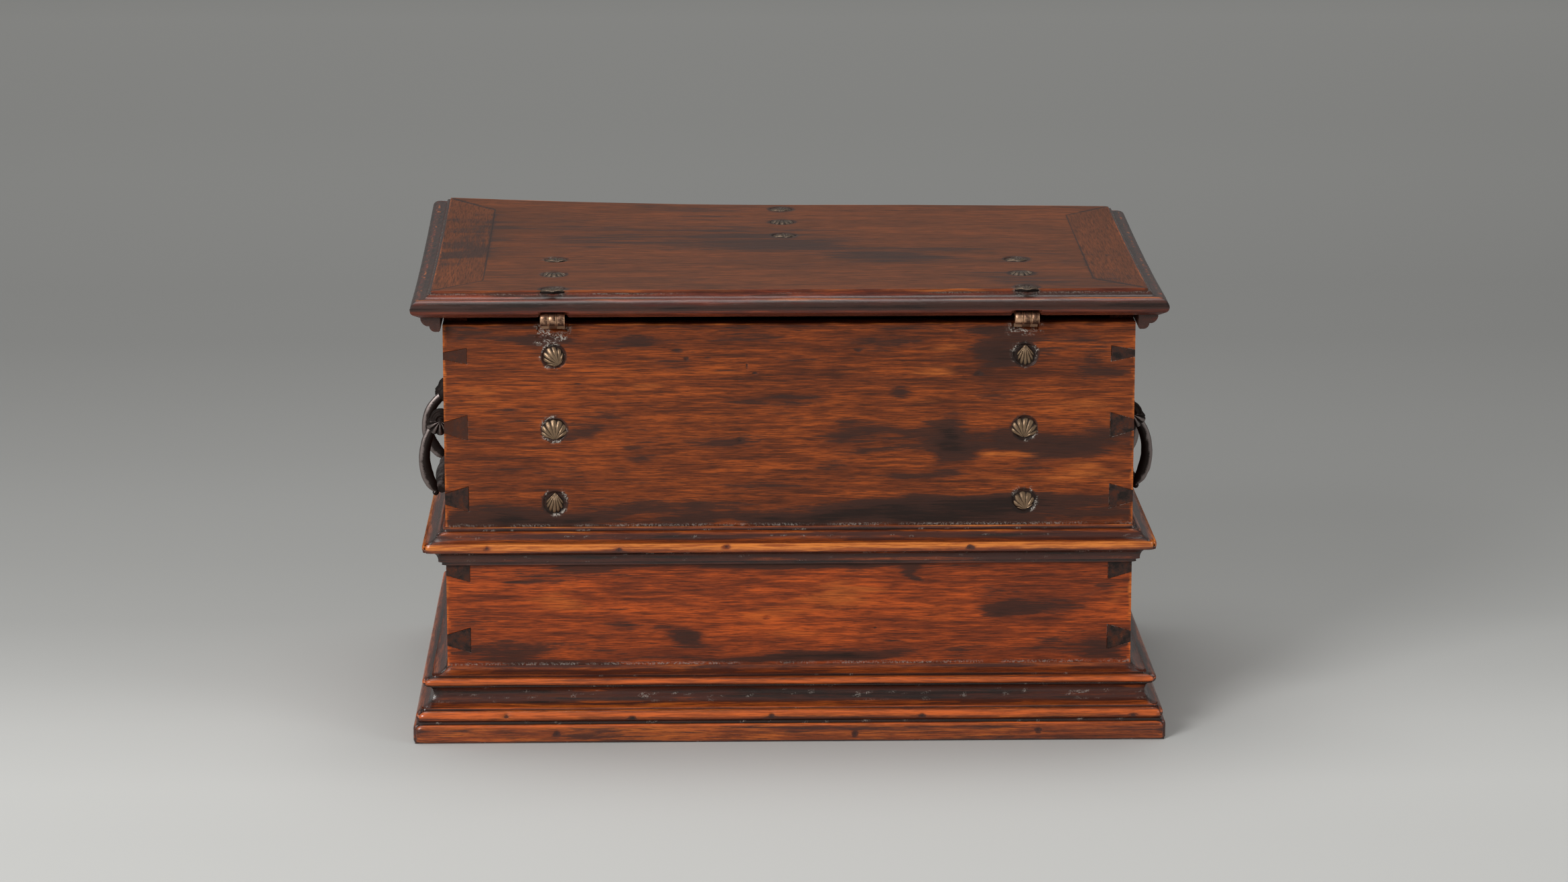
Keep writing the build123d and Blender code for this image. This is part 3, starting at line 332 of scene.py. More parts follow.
class Wood(Shader):
    """Shader of hardwood with its grain along an axis, from broad figure down to pores."""

    def __init__(self, name, axis, seed):
        super().__init__(name)
        self.axis = axis
        self.shift = (seed, seed * 1.7, seed * 0.6)
        self.broad = self.grain(7, 32, 6, 0.64, 0.9)
        self.figure = self.grain(14, 125, 6, 0.7, 0.4)
        self.streak = self.grain(26, 560, 5, 0.7, 0.15)
        self.fibre = self.grain(70, 1300, 3, 0.6)
        self.pore = self.grain(130, 2400, 2, 0.5)
        self.clouds = self.grain(10, 22, 6, 0.66, 0.9)

    def grain(self, along, across, *look):
        scale = [across] * 3
        scale[self.axis] = along
        return self.noise(scale, self.shift, *look)


def redden_lower_tier(s, colour):
    lower = s.spread(s.split(s.position)[2], 0.118, 0.122, 0.8, 0.0)
    return s.mix(lower, colour, (1.4, 1.12, 1.1), "MULTIPLY")


def darken_pin_ends(s, colour, middle, dark):
    """Dark end grain where an end board's pins show in the back, a little rubbed above on the right."""
    x, y, z = s.split(s.position)
    face = s.spread(s.math("ABSOLUTE", y), 0.1326, 0.1328)
    mottle = s.noise((150, 150, 150), (0, 0, 0), 5, 0.65)
    end_colour = s.ramp(mottle, [(0.4, soot), (0.5, smoke), (0.62, dark)])
    rubbed = s.times(s.spread(x, -0.01, 0.01), s.spread(z, 0.17, 0.19))
    rubbed = s.times(rubbed, s.spread(mottle, 0.4, 0.55, 0.3, 0.05))
    end_colour = s.mix(rubbed, end_colour, [c * 0.8 for c in middle])
    return s.mix(face, colour, end_colour)


def past_walls(s):
    """1 on the moulded edge of the lid, past its flat top."""
    x, y, _ = s.split(s.position)
    past_end = s.minus(s.math("ABSOLUTE", x), half_width * MM)
    past_back = s.minus(s.math("ABSOLUTE", y), half_depth * MM)
    return s.spread(s.math("MAXIMUM", past_end, past_back), 0.0055, 0.0075)


def add_smoke(s, colour, smoke_and_shade_paint, cloud, grit, smoky):
    """Smoke, soot and painted shade where they are painted, and smoke in clouds, broken up by the grain."""
    breakup = s.times(s.minus(s.total((s.figure, 2.0), (s.streak, 2.2)), 2.1), grit)
    drifting = s.times(s.minus(s.clouds, 0.5), cloud * 3.0)
    sooty = s.plus(s.plus(smoke_and_shade_paint, drifting), breakup)
    colour = s.mix(s.spread(sooty, 0.14, 0.58, 0, 0.9), colour, smoky)
    return s.mix(s.spread(sooty, 0.85, 1.5, 0, 0.85), colour, soot)


def add_wear(s, colour, wear_and_highlight_paint, worn, worn_low, middle):
    """Bare wood where the polish is rubbed through and where highlights are painted, redder on the base."""
    rubbed = s.plus(wear_and_highlight_paint, s.times(s.minus(s.figure, 0.5), 1.6))
    height = s.split(s.position)[2]
    bare = s.mix(s.spread(height, 0.075, 0.095), worn_low, worn)
    grained = s.total((s.streak, 0.7), (s.fibre, 0.5))
    bare = s.mix(s.spread(grained, 0.5, 0.72, 0, 0.85), bare, middle)
    return s.mix(s.spread(rubbed, 0.15, 0.8), colour, bare)


def wood(
    name, axis, light, middle, dark, worn=(0.5, 0.13, 0.024), worn_low=(0.62, 0.13, 0.02),
    cloud=0.3, shine=0.3, gloss=0.3, contrast=1.0, seed=0.0, case=False, red_edge=False,
    grit=1.0, smoky=smoke,
):
    """Old polished hardwood."""
    s = Wood(name, axis, seed)
    # Paint: smoke with painted shade, wear with painted highlights, and dust with a painted highlight line
    smoke_and_shade_paint, wear_and_highlight_paint, pale_paint = s.paint()
    tone = s.total((s.broad, 0.28), (s.figure, 0.24), (s.streak, 0.48))
    spread = 0.115 / contrast
    colour = s.ramp(tone, [(0.495 - spread, dark), (0.495, middle), (0.495 + spread, light)])
    colour = s.mix(s.spread(s.fibre, 0.42, 0.66, 0, 0.72), colour, [c * 0.75 for c in dark])
    colour = s.mix(s.spread(s.pore, 0.6, 0.7, 0, 0.5), colour, soot)
    if case:
        colour = redden_lower_tier(s, colour)
        if axis == 1:
            colour = darken_pin_ends(s, colour, middle, dark)
    if red_edge:
        past = past_walls(s)
        reds = [(0.42, (0.05, 0.013, 0.0095)), (0.5, (0.1, 0.022, 0.012)), (0.58, (0.24, 0.048, 0.018))]
        colour = s.mix(past, colour, s.ramp(tone, reds))
    colour = add_smoke(s, colour, smoke_and_shade_paint, cloud, grit, smoky)
    colour = add_wear(s, colour, wear_and_highlight_paint, worn, worn_low, middle)
    speck = s.noise((900, 900, 900), (0, 0, 0), 2, 0.7)
    # Pale paint: dust, and on the lid's fillet a painted highlight
    pale_marks = s.times(pale_paint, s.spread(speck, 0.45, 0.62))
    colour = s.mix(pale_marks, colour, (0.36, 0.32, 0.28))
    rough = s.total((s.fibre, 0.2), (pale_marks, 0.3))
    if red_edge:
        rough = s.minus(rough, s.times(past, 0.24))
        gloss = s.plus(s.times(past, 0.15), gloss)
    rough = s.math("ADD", rough, shine, clamp=True)
    s.set(Base_Color=colour, Roughness=rough, Specular_IOR_Level=gloss)
    height = s.total((s.fibre, 0.5), (s.streak, 0.9))
    s.bump(s.minus(height, s.times(s.spread(s.pore, 0.6, 0.75), 0.35)), 0.00014, 0.7)
    return s.material


# Metal


def near_axis(s, axis):
    """1 within a hinge's own leaf and knuckle, and 0 past it."""
    _, y, z = s.split(s.position)
    off_y = s.minus(y, axis[0] * MM)
    off_z = s.minus(z, axis[1] * MM)
    away = s.math("SQRT", s.plus(s.times(off_y, off_y), s.times(off_z, off_z)))
    return s.spread(away, 0.0046, 0.0054, 1, 0)


def metal(name, bright, tarnish, amount, shine, seed, barrel=False):
    """Old cast or wrought metal, bright where rubbed and where a highlight is painted, dull in its hollows
    and where shade is painted.
    """
    s = Shader(name)
    grain = s.noise((260,) * 3, (seed,) * 3, 5, 0.65)
    blotch = s.noise((57.2,) * 3, (seed + 3,) * 3, 4, 0.6)
    pits = s.noise((1560,) * 3, (0, 0, 0), 3, 0.6)
    smoke_and_shade_paint, wear_and_highlight_paint, pale_paint = s.paint()
    dull = s.total((grain, 0.4), (blotch, 0.35), (pits, 0.25))
    dull = s.plus(dull, s.times(s.minus(smoke_and_shade_paint, wear_and_highlight_paint), 0.4))
    dull = s.spread(dull, amount - 0.14, amount + 0.16)
    # On hinges the leaves away from the knuckles are painted dull and dark, as shade in their notches under
    # the lid
    if barrel:
        barrels = s.math("MAXIMUM", near_axis(s, hinge_axis), near_axis(s, hasp_axis))
        dull = s.math("MAXIMUM", dull, s.minus(0.66, barrels))
    pale_marks = s.times(pale_paint, s.spread(pits, 0.4, 0.6))
    colour = s.mix(pale_marks, s.mix(dull, bright, tarnish), (0.4, 0.37, 0.33))
    rough = s.math("ADD", s.total((dull, 0.24), (pits, 0.16)), shine, clamp=True)
    s.set(Base_Color=colour, Metallic=0.9, Roughness=rough)
    s.bump(s.total((grain, 0.8), (pits, 0.3)), 0.00022, 0.6)
    return s.material


# Finishes


warm = dict(light=(0.4, 0.084, 0.014), middle=(0.19, 0.041, 0.01), dark=(0.065, 0.019, 0.009))
red = dict(light=(0.5, 0.12, 0.016), middle=(0.24, 0.048, 0.01), dark=(0.075, 0.018, 0.008))
brown = dict(light=(0.25, 0.062, 0.014), middle=(0.122, 0.033, 0.0095), dark=(0.055, 0.019, 0.008))
plain = dict(light=(0.34, 0.17, 0.075), middle=(0.24, 0.11, 0.048), dark=(0.14, 0.062, 0.03))
board_look = dict(warm, gloss=0.2, contrast=1.25, case=True)
board_x = wood("board_x", 0, **board_look, cloud=0.1, seed=0.0)
board_y = wood("board_y", 1, **board_look, cloud=0.3, seed=2.0)
mould_worn = dict(worn=(0.66, 0.2, 0.036), worn_low=(0.6, 0.118, 0.021), smoky=red_smoke)
mould_look = dict(red, **mould_worn, cloud=0.15, shine=0.14, gloss=0.5)
mould_x = wood("moulding_x", 0, **mould_look, seed=5.0)
mould_y = wood("moulding_y", 1, **mould_look, seed=6.0)
lid_look = dict(brown, worn=(0.46, 0.12, 0.026), cloud=0.12, shine=0.42, gloss=0.2, red_edge=True)
lid_x = wood("lid_x", 0, **lid_look, contrast=0.8, seed=8.0)
lid_y = wood("lid_y", 1, **lid_look, contrast=0.4, seed=9.0, grit=0.45)
inner_look = dict(plain, cloud=0.1, shine=0.5)
inner_x = wood("inner_x", 0, **inner_look, seed=11.0)
inner_y = wood("inner_y", 1, **inner_look, seed=12.0)
nail_bronze = metal("nail_bronze", (0.25, 0.165, 0.1), (0.03, 0.02, 0.015), 0.47, 0.3, 1.0)
# A darker copy of the nails' bronze for the lid nails, as painted shade in their holes
shaded_lid_nail_bronze = metal("shaded_lid_nail_bronze", (0.13, 0.09, 0.062), (0.014, 0.01, 0.009), 0.5, 0.26, 2.0)
knuckle_bronze = metal("knuckle_bronze", (0.75, 0.44, 0.27), (0.09, 0.045, 0.03), 0.52, 0.2, 3.0)
hinge_bronze = metal("hinge_bronze", (0.72, 0.42, 0.25), (0.07, 0.038, 0.026), 0.52, 0.22, 4.0, True)
handle_bronze = metal("handle_bronze", (0.2, 0.165, 0.155), (0.024, 0.017, 0.015), 0.42, 0.34, 6.0)
hasp_bronze = metal("hasp_bronze", (0.32, 0.21, 0.12), (0.04, 0.027, 0.02), 0.47, 0.2, 7.0)
plate_bronze = metal("plate_bronze", (0.36, 0.23, 0.12), (0.07, 0.045, 0.028), 0.5, 0.24, 8.0)
lock_iron = metal("lock_iron", (0.22, 0.2, 0.18), (0.05, 0.043, 0.038), 0.48, 0.3, 9.0)

# Materials by words in a node's name, the first that fits. Pieces that end in left or right have their
# grain or length front to back, and take the second of a pair.
finishes = [
    ("compartment_floor", inner_x, inner_x),
    ("bottom_board", inner_x, inner_x),
    ("drawer_front", mould_x, mould_x),
    ("drawer_pull", plate_bronze, plate_bronze),
    ("drawer", inner_x, inner_y),
    ("lock_case", lock_iron, lock_iron),
    ("lock_bolt", lock_iron, lock_iron),
    ("lock", plate_bronze, plate_bronze),
    ("nail", nail_bronze, nail_bronze),
    ("hinge", hinge_bronze, hinge_bronze),
    ("hasp", hasp_bronze, hasp_bronze),
    ("bail", handle_bronze, handle_bronze),
    ("post", handle_bronze, handle_bronze),
    ("moulding", mould_x, mould_y),
    ("lid", lid_x, lid_y),
    ("", board_x, board_y),
]
for name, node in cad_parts.items():
    across = name.endswith(("left", "right"))
    finish = next(pair[across] for word, *pair in finishes if word in name)
    node.data.materials.clear()
    node.data.materials.append(finish)


# Mouldings

# How far the middle of a quarter arc of radius one lies from the lines through its ends
bow = 1 - math.cos(math.radians(45))


def section(start, *runs):
    """Section points with a tone from -1 in a hollow or under a moulding, where shade is painted, to 1 on a
    rubbed edge. A run is a line to a point and its tone, or an arc's middle and end and the tones there."""
    points = [(*start[0], start[1])]
    for run in runs:
        *from_place, from_tone = points[-1]
        places, tones = run[: len(run) // 2], run[len(run) // 2 :]
        length = math.dist(from_place, places[-1])
        count = max(1, round(length / 1.3)) if len(places) == 1 else max(6, round(length / 0.6))
        shares = np.arange(1, count + 1) / count
        if len(places) == 1:
            spots = [tuple(a + (b - a) * share for a, b in zip(from_place, places[0])) for share in shares]
        else:
            spots = through(from_place, *places, count)
        levels = np.interp(shares, np.linspace(0, 1, len(tones) + 1), (from_tone, *tones))
        points += [(*spot, level) for spot, level in zip(spots, levels)]
    return points


base_section = section(
    ((20.6, 0.15), -0.6),
    ((21.8, 1.5), 0.2),
    ((21.8, 9.6), 0.15),
    ((21.5, 10.9), 0.6),
    ((20.9, 11.7), 0.8),
    ((20.2, 12.0), 0.6),
    ((18.6, 12.0), -1.0),
    ((18.5, 13.5), -0.9),
    ((20.2, 16.9), (16.0, 21.1), 1.1, -0.3),
    ((17.0, 21.1), -0.6),
    ((17.0, 22.4), 0.55),
    ((9 + 8 * bow, 22.4 + 8 * bow), (9.0, 30.4), -0.4, -0.75),
    ((9 + 2.6 * bow, 32.9), (11.6, 35.4), -0.3, -0.8),
    ((13.4, 35.4), -0.95),
    ((13.4, 36.1), -1.0),
    ((16.0, 38.7), (13.4, 41.3), 0.95, 0.2),
    ((10.0, 41.3), -0.7),
    ((10.0, 42.3), 0.1),
    ((1 + 9 * bow, 42.3 + 3.9 * bow), (1.0, 46.2), -0.05, 0.0),
    ((0.0, 46.2), 0.4),
    ((-0.4, 46.0), -0.5),
)
waist_section = section(
    ((0.0, 113.2), -0.9),
    ((2.8, 113.2), -0.4),
    ((2.8, 115.6), -0.5),
    ((5.0, 115.6), -0.5),
    ((5.0, 116.4), -0.4),
    ((5 + 7.2 * bow, 123.6 - 7.2 * bow), (12.2, 123.6), -0.6, -0.6),
    ((14.1, 123.6), -0.2),
    ((14.8, 126.5), (14.1, 129.4), 0.9, 1.0),
    ((6.2 + 7.9 * bow, 129.4 + 3.2 * bow), (6.2, 132.6), -0.05, -0.6),
    ((6.2 - 3.9 * bow, 135.4 - 2.8 * bow), (2.3, 135.4), 0.35, -0.5),
    ((1.8, 135.4), -0.8),
    ((1.8, 137.7), 0.7),
    ((0.0, 137.7), 0.1),
    ((-0.4, 137.4), -0.8),
)

# Photograph pixels: the middle of the box, and the dents along the back's mouldings with their heights
mid_px = 1005.5
px_per_mm = 2.035
base_dents_px = [(634, 17.5), (799, 16.0), (981, 17.5), (1178, 16.8), (1455, 16.2)]
base_foot_dents_px = [(700, 6.5), (1090, 5.0), (1330, 7.0)]
waist_dents_px = [(612, 127.0), (783, 126.0), (923, 127.4), (1240, 126.6)]
dents_px = base_dents_px + base_foot_dents_px + waist_dents_px
outward = {"back": (0, 1), "front": (0, -1), "left": (-1, 0), "right": (1, 0)}


def moulding_shares(run, dents):
    """Stations along a length from -1 to 1, closer together at its mitres and dents."""
    even = np.linspace(-1, 1, int(2 * run / 2.4) + 1)
    near_end = 1 - np.array([0.5, 1.1, 1.8]) / run
    near_dents = [(offset - x) / (run + 20) for x, _ in dents for offset in (-2.4, -1.2, 0, 1.2, 2.4)]
    return np.unique(np.concatenate([even, near_end, -near_end, near_dents]))


def section_normals(profile):
    """Direction out of a section at each of its points."""
    run = np.zeros_like(profile)
    run[1:-1] = profile[2:] - profile[:-2]
    run[0], run[-1] = run[1], run[-2]
    normal = np.stack([run[:, 1], -run[:, 0]], axis=1)
    return normal / (np.linalg.norm(normal, axis=1)[:, None] + 1e-9)


def moulding_faces(count, rows):
    """Faces of a length's moulded side, its flat back, its top and underside, and its mitred ends."""
    faces = grid_faces(count, rows)
    low, high = count * rows, count * (rows + 1)
    for i in range(count - 1):
        first = i * rows
        last = first + rows - 1
        faces.append((low + i, low + i + 1, first + rows, first))
        faces.append((last, last + rows, high + i + 1, high + i))
        faces.append((high + i, high + i + 1, low + i + 1, low + i))
    for station in (0, count - 1):
        ring = [*range(station * rows, (station + 1) * rows), high + station, low + station]
        faces.append(ring if station else ring[::-1])
    return faces


def sweep_moulding(name, points, side, seed):
    """One mitred length of moulding, a little worn and uneven along its run."""
    long_side = side in ("back", "front")
    wall, run = (half_depth, half_width) if long_side else (half_width, half_depth)
    dents = [((mid_px - px) / px_per_mm, height) for px, height in dents_px] if side == "back" else []
    shares = moulding_shares(run, dents)
    reach, height, tone = np.array(points).T
    along = shares[:, None] * (run + reach)
    sample = points_at(along / 26, reach / 9, height / 9)
    wander = cloud_noise(sample, seed, 3)
    chips = smooth(cloud_noise(sample * (2.6, 2.0, 2.0), seed + 20, 3), 0.42, 0.8)
    exposed = np.clip(tone, 0, 1)
    to_corner = (1 - np.abs(shares))[:, None] * run
    rounded = np.clip(tone + 0.6, 0.2, 1) * np.clip(1 - to_corner / 4, 0, 1) ** 2
    knock = np.zeros_like(along)
    for x, z in dents:
        apart = ((along + x) / 2.2) ** 2 + ((height - z) / 1.7) ** 2
        knock = np.maximum(knock, np.exp(-apart) * (reach > 14))
    lost = 0.18 * exposed * np.clip(wander, 0, 1) + 0.75 * exposed * chips + 2.2 * rounded + 0.6 * knock
    fixed = (height < 0.6) | (reach <= 0.01)
    move = np.where(fixed, 0, 0.14 * wander - lost)
    normal = section_normals(np.stack([reach, height], axis=1))
    moved_reach = np.maximum(reach + normal[:, 0] * move, -0.4)
    moved_height = np.maximum(height + normal[:, 1] * move, 0.1)
    along = shares[:, None] * (run + moved_reach)
    out_x, out_y = outward[side]

    def place(away, sideways, up):
        return points_at(out_x * away - out_y * sideways, out_y * away + out_x * sideways, up).reshape(-1, 3)

    back_edges = [place(wall - 0.5, shares * (run - 0.5), height[end]) for end in (0, -1)]
    verts = np.concatenate([place(wall + moved_reach, along, moved_height), *back_edges])

    streaks = cloud_noise(points_at(along / 60, moved_reach / 2.2, moved_height / 2.2), seed + 40, 3)
    specks = cloud_noise(sample * (6, 4, 4), seed + 60, 2)
    dark_end = 0.0 if long_side else 0.4
    # Smoke and painted shade: darker in the hollows and under the mouldings as shade, darker on the end
    # lengths, towards the mitres and at the dents
    soot_and_shade = 0.18 - 1.1 * tone + 0.35 * np.clip(-tone, 0, 1) + 1.2 * streaks + 1.5 * knock + dark_end
    soot_and_shade = soot_and_shade + 0.6 * np.clip(1 - to_corner / 7, 0, 1)
    rubbed = 1.1 * tone - 0.7 * streaks - 0.15 - 1.2 * knock - 0.8 * dark_end
    pale_marks = 0.8 * smooth(specks, 0.38, 0.6) * smooth(-tone, 0.2, 0.9)
    paint = np.zeros((len(verts), 3))
    painted = points_at(np.clip(soot_and_shade, -1.2, 1.5), np.clip(rubbed, -0.4, 1.2), pale_marks)
    paint[: along.size] = painted.reshape(-1, 3)
    faces = moulding_faces(len(shares), len(points))
    finish = mould_x if long_side else mould_y
    make_piece(f"{name}_worn", verts, faces, paint, "case", finish, (name,))


for number, side in enumerate(outward):
    sweep_moulding(f"base_moulding_{side}", base_section, side, 100 + number)
    sweep_moulding(f"waist_moulding_{side}", waist_section, side, 200 + number)


# Marks


def back_spot(px, py):
    """Where a mark seen on the back lies, sideways and up, above or below the waist."""
    return (mid_px - px) * 0.4994, 269.6 - (py - 412) * 0.515 if py < 700 else 113 - (py - 720) * 0.522


def lid_spot(px, py):
    """Where a mark seen on the lid lies: sideways and towards the back."""
    back = (py - 312) * 2.5
    return (1003 - px) * (0.53 - back * 0.0002), back


def blobs(x, z, marks, seed, spot=back_spot, still=False):
    """Soft streaky patches at places on a face, summed. Still ones keep their shape."""
    warp = points_at(x / 45, z / 7)
    wx = x + (0 if still else 16) * cloud_noise(warp, seed, 3)
    wz = z + (0.8 if still else 4.5) * cloud_noise(warp * (1.0, 0.6, 1.0) + 4, seed + 5, 3)
    mm_per_px_tall = 0.52 if spot is back_spot else 2.5
    total = np.zeros_like(x)
    for px, py, wide, tall, strength in marks:
        cx, cz = spot(px, py)
        distance = ((wx - cx) / (wide * 0.5)) ** 2 + ((wz - cz) / (tall * mm_per_px_tall)) ** 2
        total += strength * np.exp(-distance)
    return total


# Marks seen in the photograph: pixel across and down, half width and half height in pixels, and strength
dark_marks = [
    (1005, 661, 450, 9, 1.1), (1140, 650, 100, 14, 0.9), (640, 652, 70, 14, 0.6),
    (860, 642, 130, 10, 0.5), (1345, 566, 125, 17, 1.3), (1216, 574, 22, 28, 1.0),
    (1200, 548, 28, 12, 0.9), (1262, 455, 36, 28, 1.1), (1330, 427, 100, 10, 0.8),
    (1335, 638, 110, 13, 0.95), (1255, 645, 90, 14, 0.9), (1150, 503, 13, 9, 1.1),
    (1005, 509, 62, 5, 0.9), (1065, 598, 60, 10, 0.7), (1100, 556, 54, 16, 0.5),
    (1180, 610, 46, 9, 0.5), (970, 432, 60, 9, 0.5), (1120, 436, 70, 9, 0.5), (800, 436, 60, 9, 0.5),
    (694, 428, 44, 9, 0.7), (860, 468, 44, 9, 0.4), (832, 517, 15, 12, 0.7), (652, 525, 24, 10, 0.7),
    (742, 546, 26, 9, 0.6), (730, 600, 70, 11, 0.5), (610, 596, 60, 10, 0.4), (905, 562, 70, 12, 0.5),
    (955, 612, 66, 9, 0.55), (1392, 472, 50, 8, 0.5), (600, 424, 40, 12, 0.4), (1005, 722, 430, 6, 1.0),
    (870, 815, 30, 11, 1.2), (1010, 840, 170, 5, 0.9), (1100, 836, 56, 8, 0.9),
    (1284, 775, 34, 17, 0.9), (1170, 738, 13, 11, 1.0), (1345, 776, 40, 12, 0.5),
    (780, 784, 28, 14, 0.6), (640, 832, 56, 12, 0.6), (725, 844, 80, 6, 0.7), (810, 832, 44, 8, 0.5),
    (660, 738, 60, 7, 0.4), (1240, 832, 100, 9, 0.5), (1402, 830, 40, 14, 0.6), (905, 742, 80, 7, 0.3),
]
nick_marks = [
    (924, 471.5, 21, 1.3, 0.9), (951, 466, 1.6, 5, 0.7), (862, 446, 8, 2.2, 0.7), (874, 457, 3, 2, 0.7),
    (902, 455, 7, 1.4, 0.6), (961, 475.5, 4, 2.2, 0.9), (940, 483, 4, 2.2, 0.7), (742, 515, 5, 2, 0.5),
    (942, 559, 4, 3, 0.7), (736, 487, 5, 1.6, 0.6), (1092, 447, 5, 2, 0.7), (1246, 477, 5, 3, 0.8),
    (1018, 556, 6, 1.4, 0.6), (820, 440, 16, 1.4, 0.5), (976, 789, 4, 2.6, 0.8), (1116, 803, 3, 2, 0.8),
    (660, 742, 20, 1.4, 0.5),
]
light_marks = [
    (592, 492, 28, 38, 0.5), (645, 476, 62, 11, 0.5), (625, 505, 44, 16, 0.4), (722, 572, 60, 14, 0.4),
    (828, 492, 38, 12, 0.9), (900, 478, 64, 8, 0.6), (880, 532, 62, 9, 0.5), (1000, 546, 60, 9, 0.5),
    (1082, 472, 60, 10, 0.6), (1196, 472, 46, 16, 1.0), (1180, 511, 60, 7, 0.7),
    (1202, 444, 40, 10, 0.7), (1372, 515, 68, 14, 1.2), (1288, 583, 50, 5, 1.2),
    (1382, 602, 66, 14, 1.2), (1275, 610, 60, 5, 1.0), (1205, 624, 60, 6, 0.6), (1100, 631, 40, 7, 0.6),
    (1110, 588, 26, 7, 0.5), (940, 590, 50, 7, 0.5), (790, 562, 50, 9, 0.4), (612, 622, 36, 9, 0.4),
    (1040, 530, 50, 7, 0.5), (632, 760, 80, 12, 0.7), (722, 770, 36, 24, 0.8), (1040, 772, 90, 24, 0.9),
    (1085, 748, 50, 14, 0.6), (1182, 794, 60, 22, 0.6), (962, 790, 40, 16, 0.6),
    (1010, 816, 60, 9, 0.6), (1432, 770, 18, 26, 0.8), (1332, 748, 44, 12, 0.4),
    (822, 768, 50, 12, 0.4),
]
lid_dark = [
    (620, 300, 40, 34, 0.45), (880, 295, 120, 12, 0.45), (1000, 310, 190, 10, 0.5),
    (1010, 330, 200, 8, 0.3), (1130, 325, 90, 10, 0.4), (700, 283, 50, 8, 0.2),
    (1310, 357, 90, 7, 0.45), (700, 372, 80, 5, 0.5), (1400, 350, 40, 9, 0.3), (560, 330, 30, 20, 0.3),
]
lid_light = [
    (760, 332, 110, 11, 0.4), (900, 352, 150, 8, 0.4), (1260, 292, 120, 12, 0.35),
    (1120, 352, 100, 8, 0.3), (600, 352, 40, 9, 0.35), (1400, 300, 30, 18, 0.3), (780, 272, 90, 6, 0.3),
    (1150, 272, 120, 5, 0.3),
]

nail_centres = [(side * hinge_x, height) for side in (1, -1) for height in back_nail_heights]


# Back board

# Rows of the face below the first pin, then beside and above each pin
band_rows = [6] + [8, 20] * len(pins)


def pin_half(share, inset):
    """Half the height of a dovetail pin at a distance from the end of the box."""
    return share * (3.5 + 0.3 * inset)


def face_heights(x):
    """Heights of the face's rows in a column, which follow the sloping sides of the pins."""
    inset = min(half_width - abs(x), board)
    bounds = [0.0]
    for height, share in pins:
        half = pin_half(share, inset)
        bounds += [height - half, height + half]
    bounds.append(back_height)
    heights = []
    for low, high, count in zip(bounds, bounds[1:], band_rows):
        heights += [low, *np.linspace(low + 0.45, high - 0.45, count)]
    return heights + [back_height]


def back_face():
    """The back board's outer face, left open where the end boards' pins show."""
    ends = [0.0, 0.5, 2.8, 5.2, 7.6, 10.0, 12.4, 14.5, 15.0, 15.5]
    columns = [half_width - e for e in ends] + steps(half_width - 17.2, -half_width + 17.2, 1.8)
    columns += [e - half_width for e in reversed(ends)]
    kinds = []
    for number, count in enumerate(band_rows):
        kinds += ["seam" if number else "edge"] + ["pin" if number % 2 else "tail"] * count
    kinds.append("edge")
    in_pin = [kind == "pin" for kind in kinds]
    pin_rows = [a or b for a, b in zip(in_pin, in_pin[1:])]
    insets = [half_width - abs(x) for x in columns]
    outer = [min(pair) < 14.99 for pair in zip(insets, insets[1:])]
    bm = bmesh.new()
    made = []
    for x, inset in zip(columns, insets):
        for z, kind in zip(face_heights(x), kinds):
            on_seam = kind == "seam" and inset <= 15.01 or kind == "pin" and abs(inset - board) < 0.01
            made.append(bm.verts.new((x, half_depth - (0.5 if on_seam else 0.0), z)))
    for face in grid_faces(len(columns), len(kinds), flip=True):
        column, row = divmod(face[0], len(kinds))
        if not (outer[column] and pin_rows[row]):
            bm.faces.new([made[k] for k in face])
    bmesh.ops.delete(bm, geom=[v for v in bm.verts if not v.link_faces], context="VERTS")
    return bm


def refine_back(bm):
    """Smaller faces around the nails, the hinges' notches and the nicks."""
    spots = [(x, z, 10, 10) for x, z in nail_centres]
    spots += [(side * hinge_x, back_height - 6, 13, 10) for side in (1, -1)]
    spots += [(*back_spot(px, py), wide * 0.5 + 3, tall * 0.52 + 3) for px, py, wide, tall, _ in nick_marks]

    def is_near(edge):
        x, _, z = edge.verts[0].co
        return any(((x - cx) / wide) ** 2 + ((z - cz) / tall) ** 2 < 1 for cx, cz, wide, tall in spots)

    near = [edge for edge in bm.edges if is_near(edge)]
    bmesh.ops.subdivide_edges(bm, edges=near, cuts=3, use_grid_fill=True)


def wear_back(bm):
    """Sink the nails' seats, the hinges' notches, splinters and nicks, and round the top edge."""
    x, y, z = np.array([v.co[:] for v in bm.verts]).T
    y = y + 0.18 * cloud_noise(points_at(x / 30, z / 12), 301, 3)
    y -= 0.9 * nail_seats(x, z, nail_centres, 6.9, 8.0, 1.6, 310)
    notch = smooth(z, back_height - 5.4, back_height - 3.4)
    for centre, width in ((hinge_x, 10.5), (-hinge_x, 9.0)):
        y -= 2.2 * notch * fade(np.abs(x - centre), width - 1.6, width)
    torn = smooth(cloud_noise(points_at(x / 5, z / 3), 340, 3), -0.1, 0.25)
    y -= 0.9 * torn * smooth(z, 256, 260) * fade(np.abs(x - hinge_x), 9, 13)
    y -= 0.5 * np.clip(blobs(x, z, nick_marks, 366, still=True), 0, 1)
    rim = smooth(z, back_height - 1.4, back_height)
    y -= 0.5 * rim
    drops = rim * 0.5 * (1 + cloud_noise(points_at(x / 14), 350, 3))
    for vert, new_y, drop in zip(bm.verts, y, drops):
        vert.co.y = new_y
        vert.co.z -= drop


